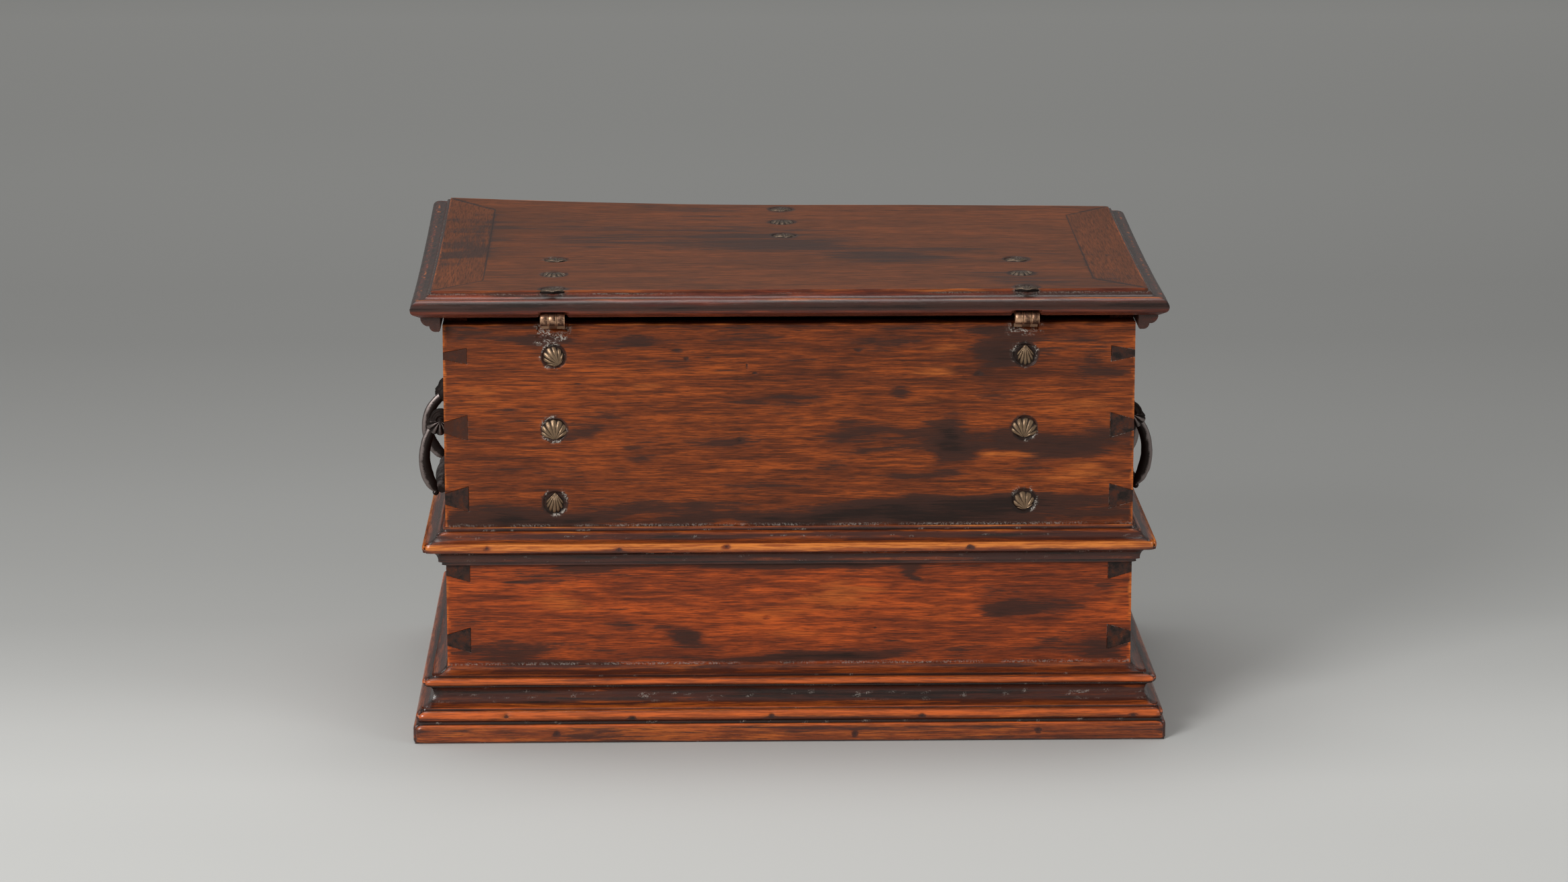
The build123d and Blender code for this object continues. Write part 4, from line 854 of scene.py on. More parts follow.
def close_back(bm):
    """Edges and an inner face for the back board."""
    boundary = [edge for edge in bm.edges if edge.is_boundary]
    extruded = bmesh.ops.extrude_edge_only(bm, edges=boundary)["geom"]
    for item in extruded:
        if isinstance(item, bmesh.types.BMVert):
            item.co.y = half_depth - board
    inner = [item for item in extruded if isinstance(item, bmesh.types.BMEdge) and item.is_boundary]
    bmesh.ops.contextual_create(bm, geom=inner)
    bmesh.ops.recalc_face_normals(bm, faces=bm.faces[:])
    bm.verts.index_update()


def back_dust(place):
    """Pale wax and broken edges at the nails, the pins' seams, the hinges and the mouldings."""
    x, _, z = place.T
    broken = smooth(cloud_noise(place / 4, 395, 2), 0.05, 0.35)
    dust = 1.3 * bell(nearest(x, z, nail_centres), 8.0, 0.9) * broken
    inset = half_width - np.abs(x)
    pale = np.where(x < 0, 2.0, 0.5) * smooth(cloud_noise(place / 9, 397, 2), -0.5, 0.3)
    for height, share in pins:
        away, half = np.abs(z - height), pin_half(share, inset)
        seam = (np.abs(away - half) < 0.3) & (inset < 15.2)
        seam |= (np.abs(inset - board) < 0.2) & (away < half + 0.3)
        dust += pale * seam
    chips = smooth(cloud_noise(points_at((x + z) / 7, (z - 0.5 * x) / 2.6), 399, 3), -0.05, 0.12)
    right_torn = fade(np.abs(x - hinge_x), 9, 13) * smooth(z, 255, 258)
    left_torn = 0.5 * fade(np.abs(x + hinge_x), 9, 13) * smooth(z, 260, 263)
    notch_edge = (np.abs(z - (back_height - 5.6)) < 1.0) & (np.abs(np.abs(x) - hinge_x) < 11)
    dust += 1.2 * chips * np.maximum(right_torn, left_torn) + 0.9 * notch_edge * (0.4 + 0.6 * chips)
    wax = smooth(cloud_noise(place / 12, 396, 3), -0.5, 0.1)
    for height in (46.4, 137.9):
        dust += 0.6 * wax * fade(np.abs(z - height), 0.3, 1.4)
    return dust


def back_paint(place):
    x, y, z = place.T
    wear = blobs(x, z, light_marks, 380)
    ground = cloud_noise(points_at(x / 34, z / 10), 390, 4)
    cuts = blobs(x, z, nick_marks, 366, still=True)
    around = fade(nearest(x, z, nail_centres), 7.0, 9.5)
    # The board's side edges and top arris are painted lighter, as wear and as a highlight along them
    edge_wear_and_highlight = 1 - smooth(half_width - np.abs(x), 0.4, 1.6)
    edge_wear_and_highlight = np.maximum(edge_wear_and_highlight, 0.8 * fade(back_height - z, 0.6, 2.2))
    uneven = cloud_noise(points_at(x / 9, z / 9), 398, 3)
    soot_and_shade = 0.95 * blobs(x, z, dark_marks, 360) + 0.6 * ground - 0.04 - 0.7 * wear
    soot_and_shade = np.clip(soot_and_shade + 1.1 * around + 1.1 * cuts, -1, 1.6) - 0.5 * edge_wear_and_highlight
    rubbed = 0.8 * wear - 0.25 - 0.15 * ground - cuts + edge_wear_and_highlight * (0.75 + 0.5 * uneven)
    inside = points_at(1.1 * around, -cuts, 0.0)
    return np.where((y > half_depth - 4)[:, None], points_at(soot_and_shade, rubbed, back_dust(place)), inside)


def add_back_board():
    bm = back_face()
    refine_back(bm)
    wear_back(bm)
    close_back(bm)
    verts = np.array([v.co[:] for v in bm.verts])
    faces = [[v.index for v in face.verts] for face in bm.faces]
    bm.free()
    paint = back_paint(verts)
    make_piece("back_board_worn", verts, faces, paint, "case", board_x, ("back_board",))


add_back_board()


# Lid

lid_nail_centres = [(side * hinge_x, back) for side in (1, -1) for back in hinge_nail_backs]
lid_nail_centres += [(0.0, back) for back in front_nail_backs]
lid_edge = [6.78, 6.95, 7.6, 8.3, 8.7, 9.3, 10.0, 10.9, 11.8, 12.5, 12.8, 13.4, 14.1, 15.0]
lid_edge += [16.0, 17.0, 17.9, 18.7, 19.2, 19.5]
# Tones across the lid's edge: below zero in the groove, the cove and under the nose, where shade is painted,
# above zero on the arris and the torus
lid_tones = [(-300, 0.0), (5.4, 0.0), (6.5, 0.75), (6.9, 0.3), (7.1, -0.9), (8.3, -0.5), (8.7, 0.25)]
lid_tones += [(10.5, -0.6), (12.6, -0.8), (13.4, 0.1), (16.2, 0.35), (18.6, 0.1), (19.5, -0.2)]


def lid_heights(reach):
    """Top and underside of the lid above its seat, by how far a point is beyond the walls."""
    cove = through((8.7, 14.3), (12.8 - 4.1 * (1 - bow), 11.5 + 2.8 * bow), (12.8, 11.5), 14)
    torus = through((12.8, 11.5), (12.8 + 6.7 * (1 - bow), 6.4 + 5.1 * (1 - bow)), (19.5, 6.4), 20)
    top = np.array([(-300, 16.0), (6.6, 16.0), (6.95, 14.3), (8.7, 14.3)] + cove + torus)
    under = np.array([(-300, 0.0), (13.5, 0.0), (18.4, 2.9), (19.2, 4.4), (19.5, 6.4)])
    return np.interp(reach, top[:, 0], top[:, 1]), np.interp(reach, under[:, 0], under[:, 1])


def lid_lines():
    """Grid lines of the lid's plan, closer together at its moulded edge and in its mitred corners."""
    corner = [0.0, 0.7, *np.linspace(2.4, 31.6, 14)]
    x_half = [clamp_x + c for c in corner] + [half_width + reach for reach in lid_edge]
    y_half = [clamp_y + c for c in corner] + [half_depth + reach for reach in lid_edge]
    middle_x = [0.7 - clamp_x, *steps(-clamp_x, clamp_x, 2.4)[1:-1], clamp_x - 0.7]
    middle_y = steps(-clamp_y, clamp_y, 2.4)[1:-1]
    return (
        [-v for v in reversed(x_half)] + middle_x + x_half,
        [-v for v in reversed(y_half)] + middle_y + y_half,
    )


def lid_cells(xs, ys):
    """Faces of the lid's plan, sorted into its panel and its two mitred end clamps."""
    cells = {"lid_panel": [], "lid_clamp_right": [], "lid_clamp_left": []}
    count = len(ys)

    def overs(corners):
        """How far the middle of a face is past the clamps' seams, and which side it is on."""
        x = sum(xs[k // count] for k in corners) / len(corners)
        y = sum(ys[k % count] for k in corners) / len(corners)
        return abs(x) - clamp_x, abs(y) - clamp_y, x > 0, y > 0

    for a, b, c, d in grid_faces(len(xs), count):
        over_x, over_y, right, rear = overs((a, b, c, d))
        clamp = "lid_clamp_right" if right else "lid_clamp_left"
        if over_x > 0 and abs(over_y - over_x) < 1e-6:
            for half in ((a, b, c), (a, c, d)) if right == rear else ((a, b, d), (b, c, d)):
                half_x, half_y, _, _ = overs(half)
                cells["lid_panel" if half_y > half_x else clamp].append(half)
        else:
            cells["lid_panel" if over_x < 0 or over_y > over_x else clamp].append((a, b, c, d))
    return cells


def lid_plan(faces, xs, ys):
    """The flat plan of one board of the lid, finer around its nails."""
    bm = bmesh.new()
    count = len(ys)
    used = sorted({k for face in faces for k in face})
    made = {k: bm.verts.new((xs[k // count], ys[k % count], 0)) for k in used}
    for face in faces:
        bm.faces.new([made[k] for k in face])
    near = []
    for edge in bm.edges:
        if any(math.dist(v.co[:2], centre) < 10 for v in edge.verts for centre in lid_nail_centres):
            near.append(edge)
    if near:
        bmesh.ops.subdivide_edges(bm, edges=near, cuts=2, use_grid_fill=True)
    bm.verts.index_update()
    return bm


def lid_seam(x, back):
    """Distance to the nearest seam between the panel and a clamp, along its end or its mitre."""
    past_x, past_y = np.abs(x) - clamp_x, np.abs(back) - clamp_y
    end_seam = np.abs(past_x) + 100 * (past_y > 0.01)
    mitre = np.abs(past_x - past_y) * 0.707 + 100 * (past_x < -0.01)
    return np.minimum(end_seam, mitre)


def lid_chips(x, back):
    return cloud_noise(points_at(x / 9, back / 9, 3), 402, 3)


def lid_surfaces(x, back, reach, tone):
    """Heights of the top and the underside, with wear, nail seats, seams and the hinges' pockets."""
    top, under = lid_heights(reach)
    chipped = np.clip(tone, 0, 1) * smooth(lid_chips(x, back), 0.35, 0.8)
    top = top + 0.16 * cloud_noise(points_at(x / 30, back / 30), 401, 3) - 0.6 * chipped
    top -= 1.5 * nail_seats(x, back, lid_nail_centres, 6.7, 7.9, 1.7, 410) * smooth(top, 13.9, 15.5)
    top -= 0.18 * (lid_seam(x, back) < 0.05)
    for centre, side in ((hinge_x, 1), (-hinge_x, 1), (0.0, -1)):
        pocket = fade(np.abs(x - centre), 8.2, 9.0) * smooth(side * back, 139.3, 140.0)
        under = under + 3.2 * pocket * fade(reach, 18.0, 19.4)
    warp = lid_warp(x, back)
    return top + warp, under + np.where(reach < 1.0, np.maximum(warp, -0.1), warp)


def shell_faces(bm, low):
    """Faces of a plan's top, its underside and the edges between, with the lower index of each vertex."""
    faces = []
    for face in bm.faces:
        ring = [v.index for v in face.verts]
        faces.append(ring)
        lower = [low[k] for k in reversed(ring)]
        if len(set(lower)) > 2:
            faces.append(lower)
    for edge in bm.edges:
        if edge.is_boundary:
            loop = edge.link_loops[0]
            a, b = loop.vert.index, loop.link_loop_next.vert.index
            ring = list(dict.fromkeys((b, a, low[a], low[b])))
            if len(ring) > 2:
                faces.append(ring)
    return faces


def lid_paint(x, back, reach, tone, clamp):
    light = blobs(x, back, lid_light, 428, lid_spot)
    marks = blobs(x, back, lid_dark, 426, lid_spot) - light
    streaks = cloud_noise(points_at(x / 60, back / 7), 420, 4)
    haze = cloud_noise(points_at(x / 70, back / 40, 9), 424, 4)
    along = cloud_noise(points_at(x / 50, back / 3, reach / 2), 430, 3)
    worn_tone = np.clip(tone, 0, 1)
    around = bell(nearest(x, back, lid_nail_centres), 7.8, 1.8)
    moulded = np.abs(x) > half_width + 6 if clamp else np.abs(back) > half_depth + 6
    # On the moulded edge the underside, the groove and the cove are painted darker as shade
    shaded_edge_smoke = (0.85 if clamp else 0.34) + 0.6 * smooth(reach, 15.5, 17.5) - 0.35 * tone + 1.5 * along
    soot_and_shade = np.where(moulded, shaded_edge_smoke, 0.4 * streaks + 0.4 * haze + 0.95 * marks)
    soot_and_shade = soot_and_shade + 1.1 * bell(lid_seam(x, back), 0, 0.5) + around - 0.6 * worn_tone
    torus = 0.75 * bell(reach, 14.2, 2.0)
    wear = np.clip(0.5 * worn_tone + torus + 1.4 * along - 0.5, -0.3, 1)
    wear = wear * fade(reach, 16.0, 17.5) - (0.3 if clamp else 0)
    # The arris is painted lighter, as wear and as a highlight along it
    edge_wear_and_highlight = 0.9 * bell(reach, 6.2, 1.2) * (0.9 + 0.5 * along)
    wear = np.where(reach < 7.0, edge_wear_and_highlight - 0.3 + 0.81 * np.clip(light, 0, 1), wear)
    # A pale line painted along the fillet as a highlight
    fillet_highlight = bell(reach, 8.5, 0.5) * smooth(along, -0.2, 0.3)
    pale_marks = 0.3 * around * smooth(lid_chips(x, back), 0.1, 0.5) + 0.45 * fillet_highlight
    return points_at(np.clip(soot_and_shade, -1, 1.4), wear, pale_marks)


def add_lid_board(name, faces, xs, ys, finish):
    """The panel or a clamp of the lid, as a shell between its top and underside."""
    bm = lid_plan(faces, xs, ys)
    x, back = np.array([v.co[:2] for v in bm.verts]).T
    reach = np.maximum(np.abs(x) - half_width, np.abs(back) - half_depth)
    tone = np.interp(reach, *np.array(lid_tones).T)
    top, under = lid_surfaces(x, back, reach, tone)
    doubled = reach <= 19.4
    low = np.arange(len(x))
    low[doubled] = len(x) + np.arange(doubled.sum())
    verts = np.concatenate([lid_place(x, back, top), lid_place(x, back, under)[doubled]])
    all_faces = shell_faces(bm, low.tolist())
    bm.free()
    paint = np.zeros((len(verts), 3))
    paint[: len(x)] = lid_paint(x, back, reach, tone, "clamp" in name)
    make_piece(f"{name}_worn", verts, all_faces, paint, "lid", finish, (name,))


def add_lid():
    xs, ys = lid_lines()
    for name, faces in lid_cells(xs, ys).items():
        add_lid_board(name, faces, xs, ys, lid_x if name == "lid_panel" else lid_y)


add_lid()


# Moulding under the lid

skirt_section = section(
    ((1.0, 0.2), -0.5),
    ((13.3, 0.2), -0.4),
    ((13.3 - 3.9 * bow, -6.2 * (1 - bow)), (9.4, -6.2), 0.1, 0.2),
    ((7.8, -6.2), -0.8),
    ((7.8 - 3.9 * bow, -6.2 - 3.7 * (1 - bow)), (3.9, -9.9), 0.3, 0.1),
    ((1.8, -9.9), -0.2),
    ((1.0, -9.1), -0.6),
    ((1.0, 0.2), -0.6),
)


def skirt_runs(side, reach):
    """Start, end and stations of each length, with room for the hasp in front."""
    x, y = half_width + reach, half_depth + reach
    rear = np.full_like(reach, half_depth + 9.8)
    gap = np.full_like(reach, 10.5)
    if side == "front":
        return [((-x, -y), (-gap, -y), 80), ((gap, -y), (x, -y), 80)]
    if side == "left":
        return [((-x, rear), (-x, -y), 110)]
    return [((x, -y), (x, rear), 110)]


def add_skirt(side, seed):
    """Small moulding under the lid, which follows the lid's twist."""
    reach, height, tone = np.array(skirt_section).T
    rows = len(reach)
    pile = Pile()
    for start, end, count in skirt_runs(side, reach):
        share = np.linspace(0, 1, count + 1)[:, None]
        x, back = (a * (1 - share) + b * share for a, b in zip(start, end))
        place = lid_place(x, back, height + np.maximum(lid_warp(x, back), -1.2)).reshape(-1, 3)
        along = cloud_noise(place / (14, 14, 3), seed, 3)
        tones = np.tile(tone, count + 1)
        # Painted darker than the lid, and darker still in its hollows and on its inner face as painted shade
        soot_and_shade = np.clip(0.6 - 0.5 * tones + 0.6 * along, -0.4, 1.3)
        rubbed = np.clip(0.6 * tones + 0.3 * along - 0.2, -0.3, 1)
        faces = grid_faces(count + 1, rows)
        faces.append([*range(rows - 1)][::-1])
        faces.append([count * rows + j for j in range(rows - 1)])
        pile.add(place, faces, points_at(soot_and_shade, rubbed))
    name = f"lid_skirt_{side}"
    pile.make(f"{name}_worn", "lid", lid_x if side == "front" else lid_y, (name,), 38)


for number, side in enumerate(("front", "left", "right")):
    add_skirt(side, 440 + number)


# Shell nails

# Ribs, half spread in degrees, length, roundness of the outline and height of each shell
shells = {
    "round": (9, 84, 12.6, 0.92, 2.2),
    "fan": (7, 72, 12.8, 0.42, 1.8),
    "drop": (7, 46, 13.4, 1.8, 2.2),
    "worn": (6, 76, 11.6, 0.7, 1.2),
}


def shell_edge(around, rows):
    """Vertices around a shell's edge: up one side from its foot, across its rim and down the other."""
    wide = around + 1
    up_side = [0] + [i * wide for i in range(1, rows + 1)]
    rim = [rows * wide + k for k in range(1, wide)]
    return up_side + rim + [i * wide + around for i in range(rows - 1, 0, -1)]


def shell_head(kind, seed):
    """A cast shell nail head: right, up and out from its middle, with its ribs spread from its foot."""
    ribs, spread, length, roundness, dome = shells[kind]
    around, rows = 66, 14
    wide = around + 1
    half = math.radians(spread)
    angle = np.linspace(-half, half, wide)[None, :]
    share = np.linspace(0, 1, rows + 1)[:, None]
    crest = 2 * np.abs(np.cos(angle / half * math.pi * ribs / 2)) ** 0.45 - 1
    reach = length * np.cos(angle) ** roundness + 0.3 * (crest - 1)
    rise = 0.42 + 0.58 * np.sin(np.pi * (share * 0.84 + 0.08)) ** 0.8
    rise = dome * rise * (1 - 0.3 * (angle / half) ** 2) * (1 - 0.55 * share**5)
    rise = rise + 0.34 * crest * smooth(share, 0.12, 0.5) * (1 - 0.5 * share**4)
    spoke = share * reach
    place = points_at(spoke * np.sin(angle), spoke * np.cos(angle) - length / 2, np.maximum(rise, 0.35))
    grid = place.reshape(-1, 3)
    grid[:, 2] += 0.3 * cloud_noise(grid / 1.9, seed, 3)
    tone = 0.1 - 0.5 * crest * smooth(share, 0.1, 0.4) + 0.5 * share**6
    paint = points_at(tone, 0.45 * crest * (1 - share**4) + 0.1).reshape(-1, 3)
    faces = [(wide + k + 1, wide + k, 0) for k in range(around)]
    faces += grid_faces(rows, wide, first=wide, flip=True)
    edge = shell_edge(around, rows)
    foot = grid[edge]
    foot[:, 2] = -0.4
    low = len(grid)
    for k in range(len(edge)):
        n = (k + 1) % len(edge)
        faces.append([edge[k], low + k, low + n, edge[n]])
    faces.append([low + k for k in range(len(edge))][::-1])
    kept = [0, *range(wide, low + len(edge))]
    faces = [[max(k - around, 0) for k in face] for face in faces]
    verts = np.concatenate([grid, foot])
    paint = np.concatenate([paint, np.tile([0.9, 0, 0], (len(edge), 1))])
    return verts[kept], faces, paint[kept]


def add_nails(name, places, body, seat, finish):
    """Shell nails at places with their own up and out directions."""
    pile = Pile()
    shank_angles = [2 * math.pi * k / 12 for k in range(12)]
    for number, (centre, up, out, kind, turn) in enumerate(places):
        head, faces, paint = shell_head(kind, 500 + 11 * number + len(name))
        spin = Matrix.Rotation(math.radians(turn), 3, out)
        right, top = spin @ up.cross(out), spin @ up
        pile.add([centre + right * a + top * b + out * (c - seat) for a, b, c in head], faces, paint)
        shank = []
        for depth in (0.0, -17.0):
            for angle in shank_angles:
                spot = centre + right * (1.4 * math.cos(angle)) + top * (1.4 * math.sin(angle))
                shank.append(spot + out * (depth - seat - 0.7))
        faces = grid_faces(2, 12, closed=True, flip=True) + [range(12, 24)]
        pile.add(shank, faces, [(0.5, 0, 0)] * 24)
    pile.make(f"{name}_cast", body, finish, (name,), 60)


def add_back_nails():
    looks = {
        "right": (("round", 35), ("fan", 4), ("drop", 176)),
        "left": (("drop", 180), ("fan", -5), ("worn", 12)),
    }
    up, out = Vector((0, 0, 1)), Vector((0, 1, 0))
    for side, sign in (("right", 1), ("left", -1)):
        spots = [Vector((sign * hinge_x, half_depth, height)) for height in back_nail_heights]
        places = [(spot, up, out, *look) for spot, look in zip(spots, looks[side])]
        add_nails(f"back_nails_{side}", places, "case", 0.6, nail_bronze)


def add_lid_nails():
    out = Vector((0, math.sin(lid_tilt), math.cos(lid_tilt)))
    up = Vector((0, -math.cos(lid_tilt), math.sin(lid_tilt)))
    rows = {
        "right": (hinge_x, hinge_nail_backs),
        "left": (-hinge_x, hinge_nail_backs),
        "front": (0.0, front_nail_backs),
    }
    for side, (x, backs) in rows.items():
        places = []
        for back, turn in zip(backs, (0, 180, 8)):
            spot = lid_place(x, back, lid_thickness + lid_warp(x, back))
            places.append((Vector(spot), up, out, "fan", turn))
        add_nails(f"lid_nails_{side}", places, "lid", 1.3, shaded_lid_nail_bronze)


add_back_nails()
add_lid_nails()


# Tubes


def tube(centres, across, aside, widths, depths, outline, seed=0, rough=0.0, bright=0.0):
    """A closed tube through centres. The outline is given across and aside for a width and depth of one.
    Bright paints a highlight along the side that the outline's across points to, as wear and less smoke.
    """
    outline, centres, across, aside = (np.array(v, float) for v in (outline, centres, across, aside))
    widths, depths = np.array(widths)[:, None, None], np.array(depths)[:, None, None]
    rings = centres[:, None, :] + widths * outline[None, :, :1] * across[:, None, :]
    rings = rings + depths * outline[None, :, 1:] * aside[:, None, :]
    count, sides = rings.shape[:2]
    flat = rings.reshape(-1, 3)
    hammered = cloud_noise(flat / 2.6, seed, 3)
    out = flat - np.repeat(centres, sides, axis=0)
    flat = flat + out / (np.linalg.norm(out, axis=1)[:, None] + 0.1) * (rough * hammered)[:, None]
    faces = grid_faces(count, sides, closed=True, flip=True)
    faces.append([*range(sides)][::-1])
    faces.append([*range((count - 1) * sides, count * sides)])
    lit = bright * np.tile(smooth(outline[:, 0], -0.1, 0.6), count)
    return flat, faces, points_at(0.45 - 0.5 * hammered - 0.5 * lit, lit)


def circle(sides):
    return [(math.cos(2 * math.pi * k / sides), math.sin(2 * math.pi * k / sides)) for k in range(sides)]


def rod(start, end, radius, sides=14, **look):
    """A round rod between two points."""
    start, end = Vector(start), Vector(end)
    along = (end - start).normalized()
    across = along.orthogonal().normalized()
    aside = along.cross(across)
    return tube([start, end], [across] * 2, [aside] * 2, [radius] * 2, [radius] * 2, circle(sides), **look)


def turned(start, direction, rings, sides=24, **look):
    """A turned shape: rings are distances along the direction and their radii."""
    direction = Vector(direction)
    across = direction.orthogonal().normalized()
    aside = direction.cross(across)
    centres = [Vector(start) + direction * distance for distance, _ in rings]
    radii = [radius for _, radius in rings]
    return tube(centres, [across] * len(rings), [aside] * len(rings), radii, radii, circle(sides), **look)


# Hinge knuckles


def add_knuckles(name, places, body):
    """Worn rounded sleeves over the knuckles, with a highlight painted along one side. Places are their
    middles.
    """
    pile = Pile()
    rings = [(-2.45, 3.3), (-2.3, 4.0), (-1.8, 4.32), (0.0, 4.36), (1.8, 4.32), (2.3, 4.0), (2.45, 3.3)]
    for number, place in enumerate(places):
        pile.add(*turned(place, (1, 0, 0), rings, seed=650 + number, rough=0.12, bright=0.2))
    pile.make(name, body, knuckle_bronze)


knuckle_pitch = 5.23
outer = [(side * hinge_x + step * knuckle_pitch, *hinge_axis) for side in (1, -1) for step in (1, -1)]
outer += [(step * knuckle_pitch, *hasp_axis) for step in (1, -1)]
add_knuckles("lid_knuckle_sleeves", outer, "lid")
add_knuckles("case_knuckle_sleeves", [(side * hinge_x, *hinge_axis) for side in (1, -1)], "case")
add_knuckles("hasp_knuckle_sleeve", [(0.0, *hasp_axis)], "hasp")


# Handles


arm_edge = [(0.97, 0.42), (0.84, 0.68), (0.72, 0.73), (0.0, 0.97), (-0.12, 1.0), (-0.55, 0.8), (-0.9, 0.42)]
arm_under = [(across, -aside) for across, aside in reversed(arm_edge)]
arm_section = [(1.0, 0.0), *arm_edge, (-1.0, 0.0), *arm_under]
arm_paths = {
    "straight": ((8.0, 0.0), (17.6, -24.0), (10.2, -47.4)),
    "bent": ((8.0, 0.0), (20.2, -20.0), (7.4, -43.6)),
}


def handle_arm(pile, side, face, height, end, seed):
    """One flattened arm of a bail, from its eye at the post down to the bead at its foot, with highlights
    painted along one side of the arm and the eye and on the bead.
    """
    top, bulge, tip = arm_paths["bent" if side > 0 > end else "straight"]
    path = [top] + through(top, bulge, tip, 40)
    share = np.linspace(0, 1, len(path))
    width_places = [0, 0.08, 0.3, 0.55, 0.76, 0.9, 0.97, 1.0]
    widths = np.interp(share, width_places, [2.8, 3.0, 3.4, 3.7, 4.2, 3.5, 2.3, 1.0])
    depths = np.interp(share, [0, 0.2, 0.6, 0.9, 1.0], [2.7, 3.0, 3.2, 2.7, 1.1])
    centres, across = [], []
    for n, (reach, drop) in enumerate(path):
        before, after = path[max(n - 1, 0)], path[min(n + 1, len(path) - 1)]
        run = Vector((after[0] - before[0], after[1] - before[1])).normalized()
        centres.append((face + side * reach, end * 43.0, height + drop))
        across.append((side * -run.y, 0, run.x))
    aside = [(0, end, 0)] * len(path)
    pile.add(*tube(centres, across, aside, widths, depths, arm_section, seed, 0.28, 0.75))
    foot = Vector((face + side * (tip[0] + 0.4), end * 43.0, height + tip[1] - 1.2))
    foot_rings = [(0, 0.7), (0.8, 1.7), (2.2, 2.2), (3.6, 1.6), (4.2, 0.5)]
    pile.add(*turned(foot + Vector((0, 0, 2.4)), (0, 0, -1), foot_rings))
    bead = foot + Vector((side * 0.4, end * 0.8, 0.6))
    pile.add(*turned(bead, (0, end, 0), [(0, 1.0), (0.7, 1.0), (1.3, 0.75), (1.6, 0.2)], bright=1.0))
    eye = Vector((face + side * 8.0, end * 39.9, height))
    rings = [(0, 1.5), (0.4, 3.6), (1.2, 4.3), (5.0, 4.3), (5.8, 3.6), (6.1, 1.8)]
    pile.add(*turned(eye, (0, end, 0), rings, seed=seed + 1, rough=0.2, bright=0.3))
    pile.add(*rod(eye + Vector((0, end * 5, 0)), eye + Vector((0, end * 13.0, 0)), 1.9))


def handle_grip(pile, side, face, height, seed):
    """The turned grip between the arms, with a bead at each end and a highlight painted along one side."""
    half = [(0, 6.0), (9, 5.8), (17, 5.3), (24, 4.6), (29, 4.0)]
    half += [(30, 4.9), (32, 5.2), (34, 4.9), (35, 3.6), (43.5, 3.6)]
    rings = [(-y, radius) for y, radius in reversed(half)] + half[1:]
    middle = Vector((face + side * 6.6, 0, height - 45.0))
    pile.add(*turned(middle, (0, 1, 0), rings, seed=seed, rough=0.25, bright=0.35))


def leaf_head(seed):
    """Cast head of a post: a fan of leaves below and a curl above. Outward, up and out towards the end."""
    around, rows = 96, 18
    angle = np.linspace(0, 2 * math.pi, around, endpoint=False)[None, :]
    share = np.linspace(0, 1, rows + 1)[1:, None]
    down = smooth(-np.sin(angle), -0.25, 0.35)
    petals = np.abs(np.cos(angle * 6)) ** 0.6
    reach = 7.2 + down * (2.0 + 0.9 * petals) - 0.4 * np.abs(np.cos(angle)) ** 3
    radius = share * reach
    dome = 2.6 * (1 - share**2.4)
    leaves = 1.1 * petals * np.sin(np.pi * np.clip(share * 1.05, 0, 1)) ** 0.6
    curl = 0.5 * np.cos(2 * math.pi * (radius / 3.1 - angle / (2 * math.pi)))
    relief = down * leaves + (1 - down) * curl * smooth(share, 0.1, 0.3) * (1 - smooth(share, 0.93, 1.0))
    knob = 0.5 * (1 - smooth(radius, 0.8, 1.8))
    height = dome + relief + knob
    x, z = radius * np.cos(angle), radius * np.sin(angle)
    top = np.stack([x, z, height], axis=2).reshape(-1, 3)
    top[:, 2] += 0.15 * cloud_noise(top / 1.6, seed, 3)
    ridge = down * (petals - 0.6) + (1 - down) * (curl * 0.5 - 0.25)
    paint = np.stack([0.35 - 1.1 * ridge, 0.6 * ridge, 0 * ridge], axis=2).reshape(-1, 3)
    verts = [(0.0, 0.0, 3.8)] + [tuple(p) for p in top]
    colours = [(0.2, 0.3, 0.0)] + [tuple(p) for p in paint]
    sides = [(-1.2, 0.97), (-2.2, 0.86), (-3.2, 0.85), (-4.4, 0.94)]
    sides += [(-5.8, 0.96), (-7.1, 0.86), (-8.0, 0.68)]
    for depth, scale in sides:
        for px, pz in zip(x[-1], z[-1]):
            verts.append((px * scale, pz * scale, depth))
            colours.append((0.6, 0.0, 0.0))
    faces = [(0, 1 + k, 1 + (k + 1) % around) for k in range(around)]
    last = rows - 1 + len(sides)
    faces += grid_faces(last + 1, around, first=1, closed=True)
    faces.append([1 + last * around + k for k in range(around)][::-1])
    return np.array(verts), faces, np.array(colours)


def add_handle(name, side, height):
    face = side * half_width
    bail = Pile()
    posts = Pile()
    for end in (1, -1):
        handle_arm(bail, side, face, height, end, 700 + end)
        head, faces, paint = leaf_head(720 + end)
        outward = np.maximum(6.4 + head[:, 0], 0.05)
        up = height + 2.4 + head[:, 1]
        place = points_at(face + side * outward, end * (54.6 + head[:, 2]), up)
        posts.add(place, faces if side * end < 0 else [list(f)[::-1] for f in faces], paint)
        inside = face - side * 16.0
        posts.add(*rod((face + side * 6.0, end * 50.6, height), (inside, end * 50.6, height), 2.5))
        rivet = (inside + side * 1.0, end * 50.6, height)
        posts.add(*turned(rivet, (-side, 0, 0), [(0, 4.5), (0.8, 4.3), (1.4, 3.0), (1.5, 0.5)]))
    handle_grip(bail, side, face, height, 740)
    bail.make(f"bail_{name}_cast", f"bail_{name}", handle_bronze, (f"bail_{name}",))
    node = f"handle_posts_{name}"
    posts.make(f"{node}_cast", "case", handle_bronze, (node,))


add_handle("right", 1, 188.5)
add_handle("left", -1, 191.0)


# Stage, light and camera


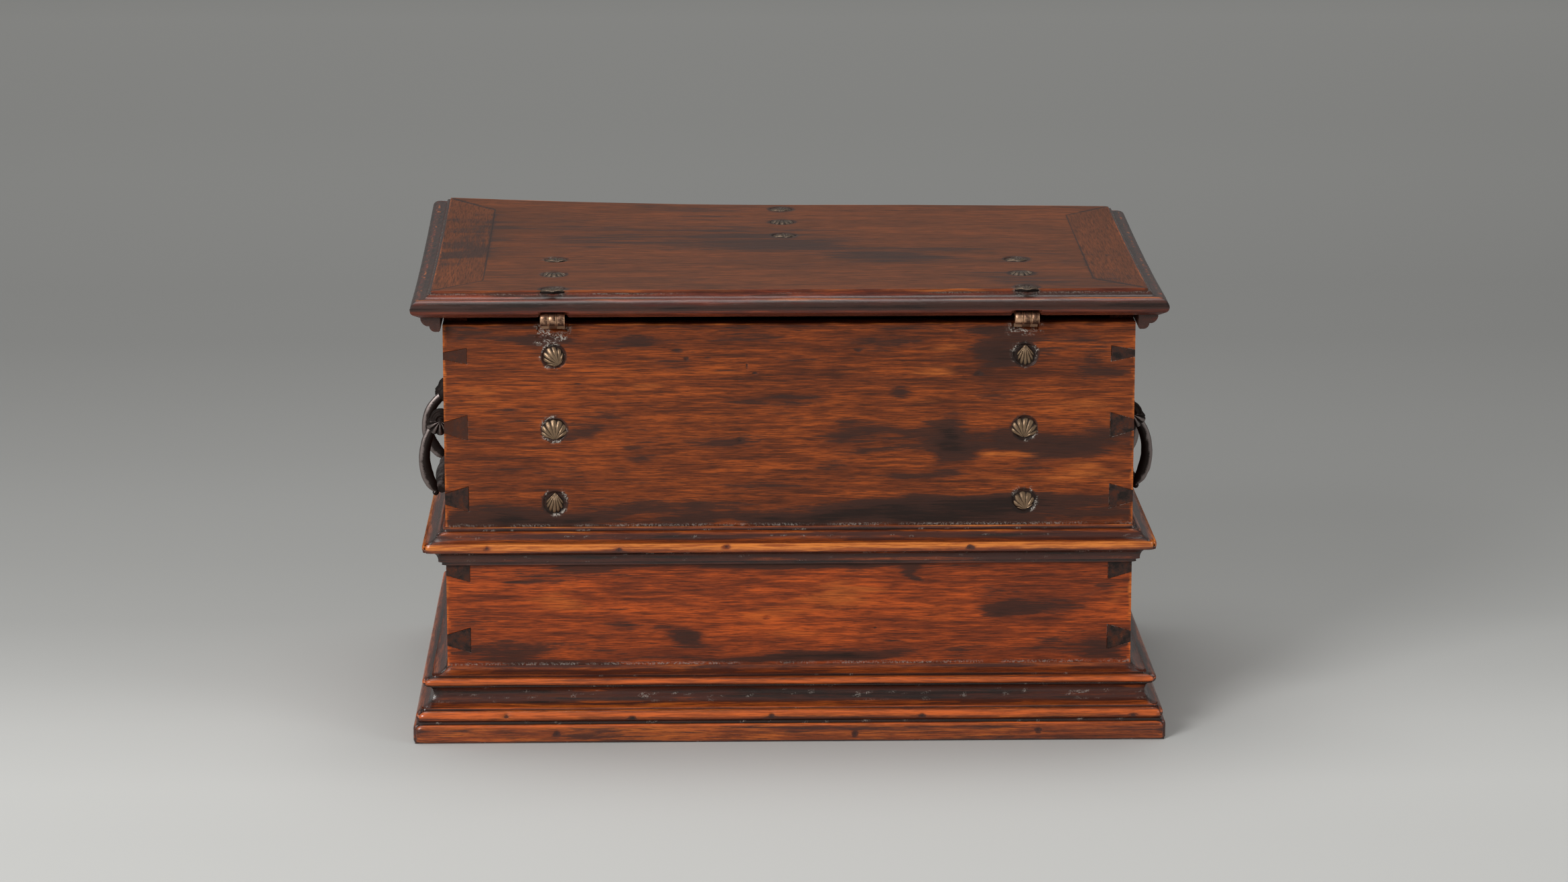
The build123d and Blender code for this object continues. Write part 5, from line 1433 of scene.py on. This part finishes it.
def add_floor():
    """Plain paper whose grey changes from front to back as in the photograph: light and shade are painted
    into it, darkest behind the box and lighter towards the camera and far away.
    """
    painted_floor_greys = [
        (-3.6, 0.47), (-2.6, 0.366), (-2.17, 0.332), (-1.8, 0.295), (-1.48, 0.264), (-1.2, 0.252),
        (-0.95, 0.265), (-0.71, 0.284), (-0.52, 0.31), (-0.34, 0.33), (-0.17, 0.36),
        (-0.02, 0.42), (0.11, 0.49), (0.25, 0.53), (0.36, 0.52), (0.5, 0.52),
    ]
    front, depth = -3.6, 4.2
    s = Shader("floor_paper")
    share = s.math("DIVIDE", s.minus(s.split(s.position)[1], front), depth)
    stops = [((y - front) / depth, (grey, grey, grey * 0.97)) for y, grey in painted_floor_greys]
    s.set(Base_Color=s.ramp(share, stops), Roughness=0.9, Specular_IOR_Level=0.1)
    bm = bmesh.new()
    bmesh.ops.create_grid(bm, x_segments=8, y_segments=8, size=14)
    mesh = bpy.data.meshes.new("floor")
    bm.to_mesh(mesh)
    bm.free()
    mesh.materials.append(s.material)
    floor = add_object("floor", mesh)


def add_light(name, place, target, size, power):
    data = bpy.data.lights.new(name, "AREA")
    data.shape = "RECTANGLE"
    data.size, data.size_y = size
    data.energy = power
    lamp = add_object(name, data)
    lamp.location = place
    lamp.rotation_euler = (Vector(target) - Vector(place)).to_track_quat("-Z", "Y").to_euler()


def add_world():
    """Grey light from all round, brighter from above, and an even grey where the camera sees it."""
    world = bpy.data.worlds.new("studio")
    world.use_nodes = True
    sky = Nodes(world.node_tree)
    up = sky.split(sky.add("ShaderNodeTexCoord", {}).outputs["Generated"])[2]
    glow = sky.ramp(up, [(0, (0.16, 0.16, 0.158)), (1, (0.42, 0.42, 0.415))])
    seen = sky.add("ShaderNodeLightPath", {}).outputs["Is Camera Ray"]
    colour = sky.mix(seen, glow, (0.235, 0.235, 0.225))
    back = sky.add("ShaderNodeBackground", {"Color": colour, "Strength": 1.0})
    sky.add("ShaderNodeOutputWorld", {"Surface": back.outputs[0]})
    bpy.context.scene.world = world


def add_camera():
    """The photograph's own view: turned and tipped from behind."""
    yaw, pitch = 0.0230, 0.2136
    across, down, away = 3.5422, 188.5654, 3033.003
    right = Vector((-math.cos(yaw), math.sin(yaw), 0))
    forward = Vector((-math.sin(yaw) * math.cos(pitch), -math.cos(yaw) * math.cos(pitch), -math.sin(pitch)))
    up = Vector((-math.sin(yaw) * math.sin(pitch), -math.cos(yaw) * math.sin(pitch), math.cos(pitch)))
    matrix = Matrix((right, up, -forward)).transposed().to_4x4()
    back_foot = Vector((0, half_depth, 0))
    matrix.translation = (back_foot - right * across + up * down - forward * away) * MM
    data = bpy.data.cameras.new("camera")
    data.lens, data.sensor_width = 107.69, 36
    data.clip_end = 100
    camera = add_object("camera", data)
    camera.matrix_world = matrix
    bpy.context.scene.camera = camera


add_floor()
add_world()
add_light("key", (2.1, 2.85, 1.85), (0, 0, 0.15), (1.4, 1.4), 105)
add_light("top", (0.3, -0.5, 2.9), (0, 0, 0.1), (2.2, 1.6), 40)
add_light("fill", (-2.6, 1.8, 1.3), (0, 0, 0.15), (1.2, 1.4), 16)
add_camera()
bpy.context.scene.view_settings.view_transform = "Standard"
